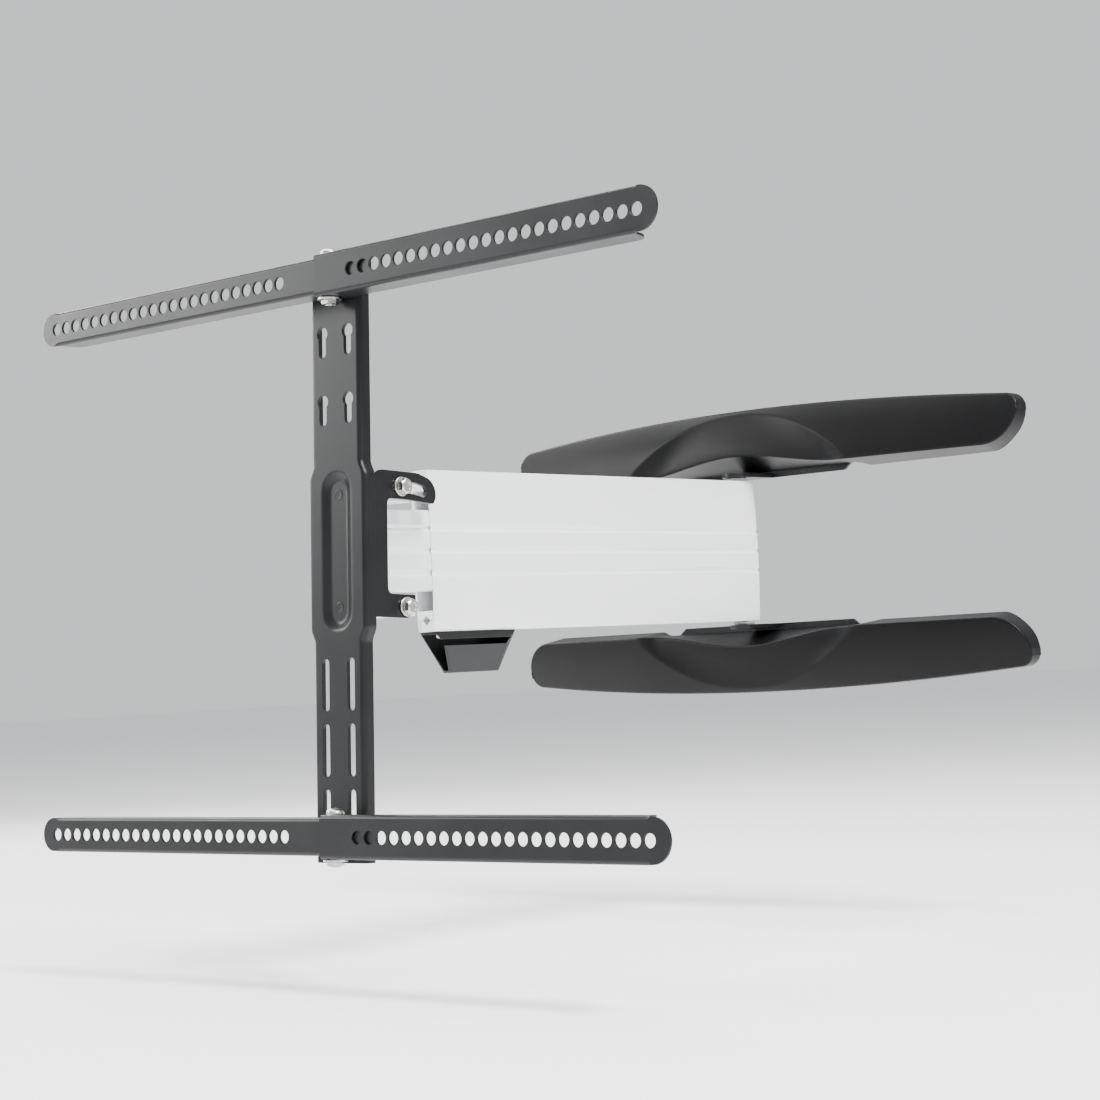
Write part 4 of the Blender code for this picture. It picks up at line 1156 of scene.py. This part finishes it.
def stand_camera(look):
    yaw, pitch, roll = radians(look.yaw), radians(look.pitch), radians(look.roll)
    forward = Vector((-sin(yaw) * cos(pitch), cos(yaw) * cos(pitch), sin(pitch)))
    right = Vector((cos(yaw), sin(yaw), 0.0))
    up = right.cross(forward)
    right, up = cos(roll) * right + sin(roll) * up, cos(roll) * up - sin(roll) * right
    data = bpy.data.cameras.new("camera")
    data.lens = look.lens
    data.sensor_width = 36.0
    camera = bpy.data.objects.new("camera", data)
    bpy.context.scene.collection.objects.link(camera)
    turn = Matrix((right, up, -forward)).transposed().to_4x4()
    camera.matrix_world = Matrix.Translation(look.camera_place) @ turn
    bpy.context.scene.camera = camera


class MOUNT_OT_stage(bpy.types.Operator):
    """Lay the pale floor, hang the soft lights and stand the camera"""
    bl_idname = "mount.stage"
    bl_label = "Studio"

    def execute(self, context):
        look = context.scene.mount_stage
        bm = bmesh.new()
        bmesh.ops.create_grid(bm, x_segments=1, y_segments=1, size=14.0)
        bmesh.ops.translate(bm, vec=(0.0, 0.0, look.floor_height), verts=bm.verts)
        floor = mesh_object(bm, "floor")
        floor.data.materials.append(studio_paper(context.scene.mount_look))
        middle = (0.0, -0.28, -0.1)
        soft_light("key", (2.0, -0.9, 2.2), middle, (0.9, 0.9), 260.0)
        soft_light("front", (-2.2, -1.7, 0.9), middle, (0.6, 1.2), 70.0)
        soft_light("edge", (-1.9, 0.3, 1.0), middle, (0.8, 1.6), 40.0)
        soft_light("top", (0.0, -0.3, 2.3), middle, (2.4, 1.6), 70.0)
        world = bpy.data.worlds.new("studio")
        world.use_nodes = True
        background = world.node_tree.nodes["Background"]
        background.inputs["Color"].default_value = to_linear("#eceef0")
        background.inputs["Strength"].default_value = 1.0
        context.scene.world = world
        stand_camera(look)
        return {"FINISHED"}


PIECES = (MOUNT_OT_wall_covers, MOUNT_OT_wall_hinge, MOUNT_OT_arm, MOUNT_OT_cable_clip, MOUNT_OT_swivel_head,
          MOUNT_OT_column, MOUNT_OT_tilt_bracket, MOUNT_OT_rails, MOUNT_OT_rail_joints, MOUNT_OT_stage)
SETTINGS = (("mount_covers", CoverSettings), ("mount_arm", ArmSettings), ("mount_column", ColumnSettings),
            ("mount_rails", RailSettings), ("mount_look", FinishSettings), ("mount_stage", StageSettings))


class MOUNT_PT_panel(bpy.types.Panel):
    """The mount's sizes, colours and build steps"""
    bl_label = "TV wall mount"
    bl_idname = "MOUNT_PT_panel"
    bl_space_type = "VIEW_3D"
    bl_region_type = "UI"
    bl_category = "Wall Mount"

    def draw(self, context):
        for attribute, group in SETTINGS:
            box = self.layout.box()
            settings = getattr(context.scene, attribute)
            for name in group.__annotations__:
                box.prop(settings, name)
        for piece in PIECES:
            self.layout.operator(piece.bl_idname)


def register():
    for attribute, group in SETTINGS:
        bpy.utils.register_class(group)
        setattr(bpy.types.Scene, attribute, PointerProperty(type=group))
    for item in (*PIECES, MOUNT_PT_panel):
        bpy.utils.register_class(item)


def unregister():
    for item in (MOUNT_PT_panel, *reversed(PIECES)):
        bpy.utils.unregister_class(item)
    for attribute, group in reversed(SETTINGS):
        delattr(bpy.types.Scene, attribute)
        bpy.utils.unregister_class(group)


def main():
    register()
    bpy.ops.mount.wall_covers()
    bpy.ops.mount.wall_hinge()
    bpy.ops.mount.arm()
    bpy.ops.mount.cable_clip()
    bpy.ops.mount.swivel_head()
    bpy.ops.mount.column()
    bpy.ops.mount.tilt_bracket()
    bpy.ops.mount.rails()
    bpy.ops.mount.rail_joints()
    bpy.ops.mount.stage()


if __name__ == "__main__":
    main()
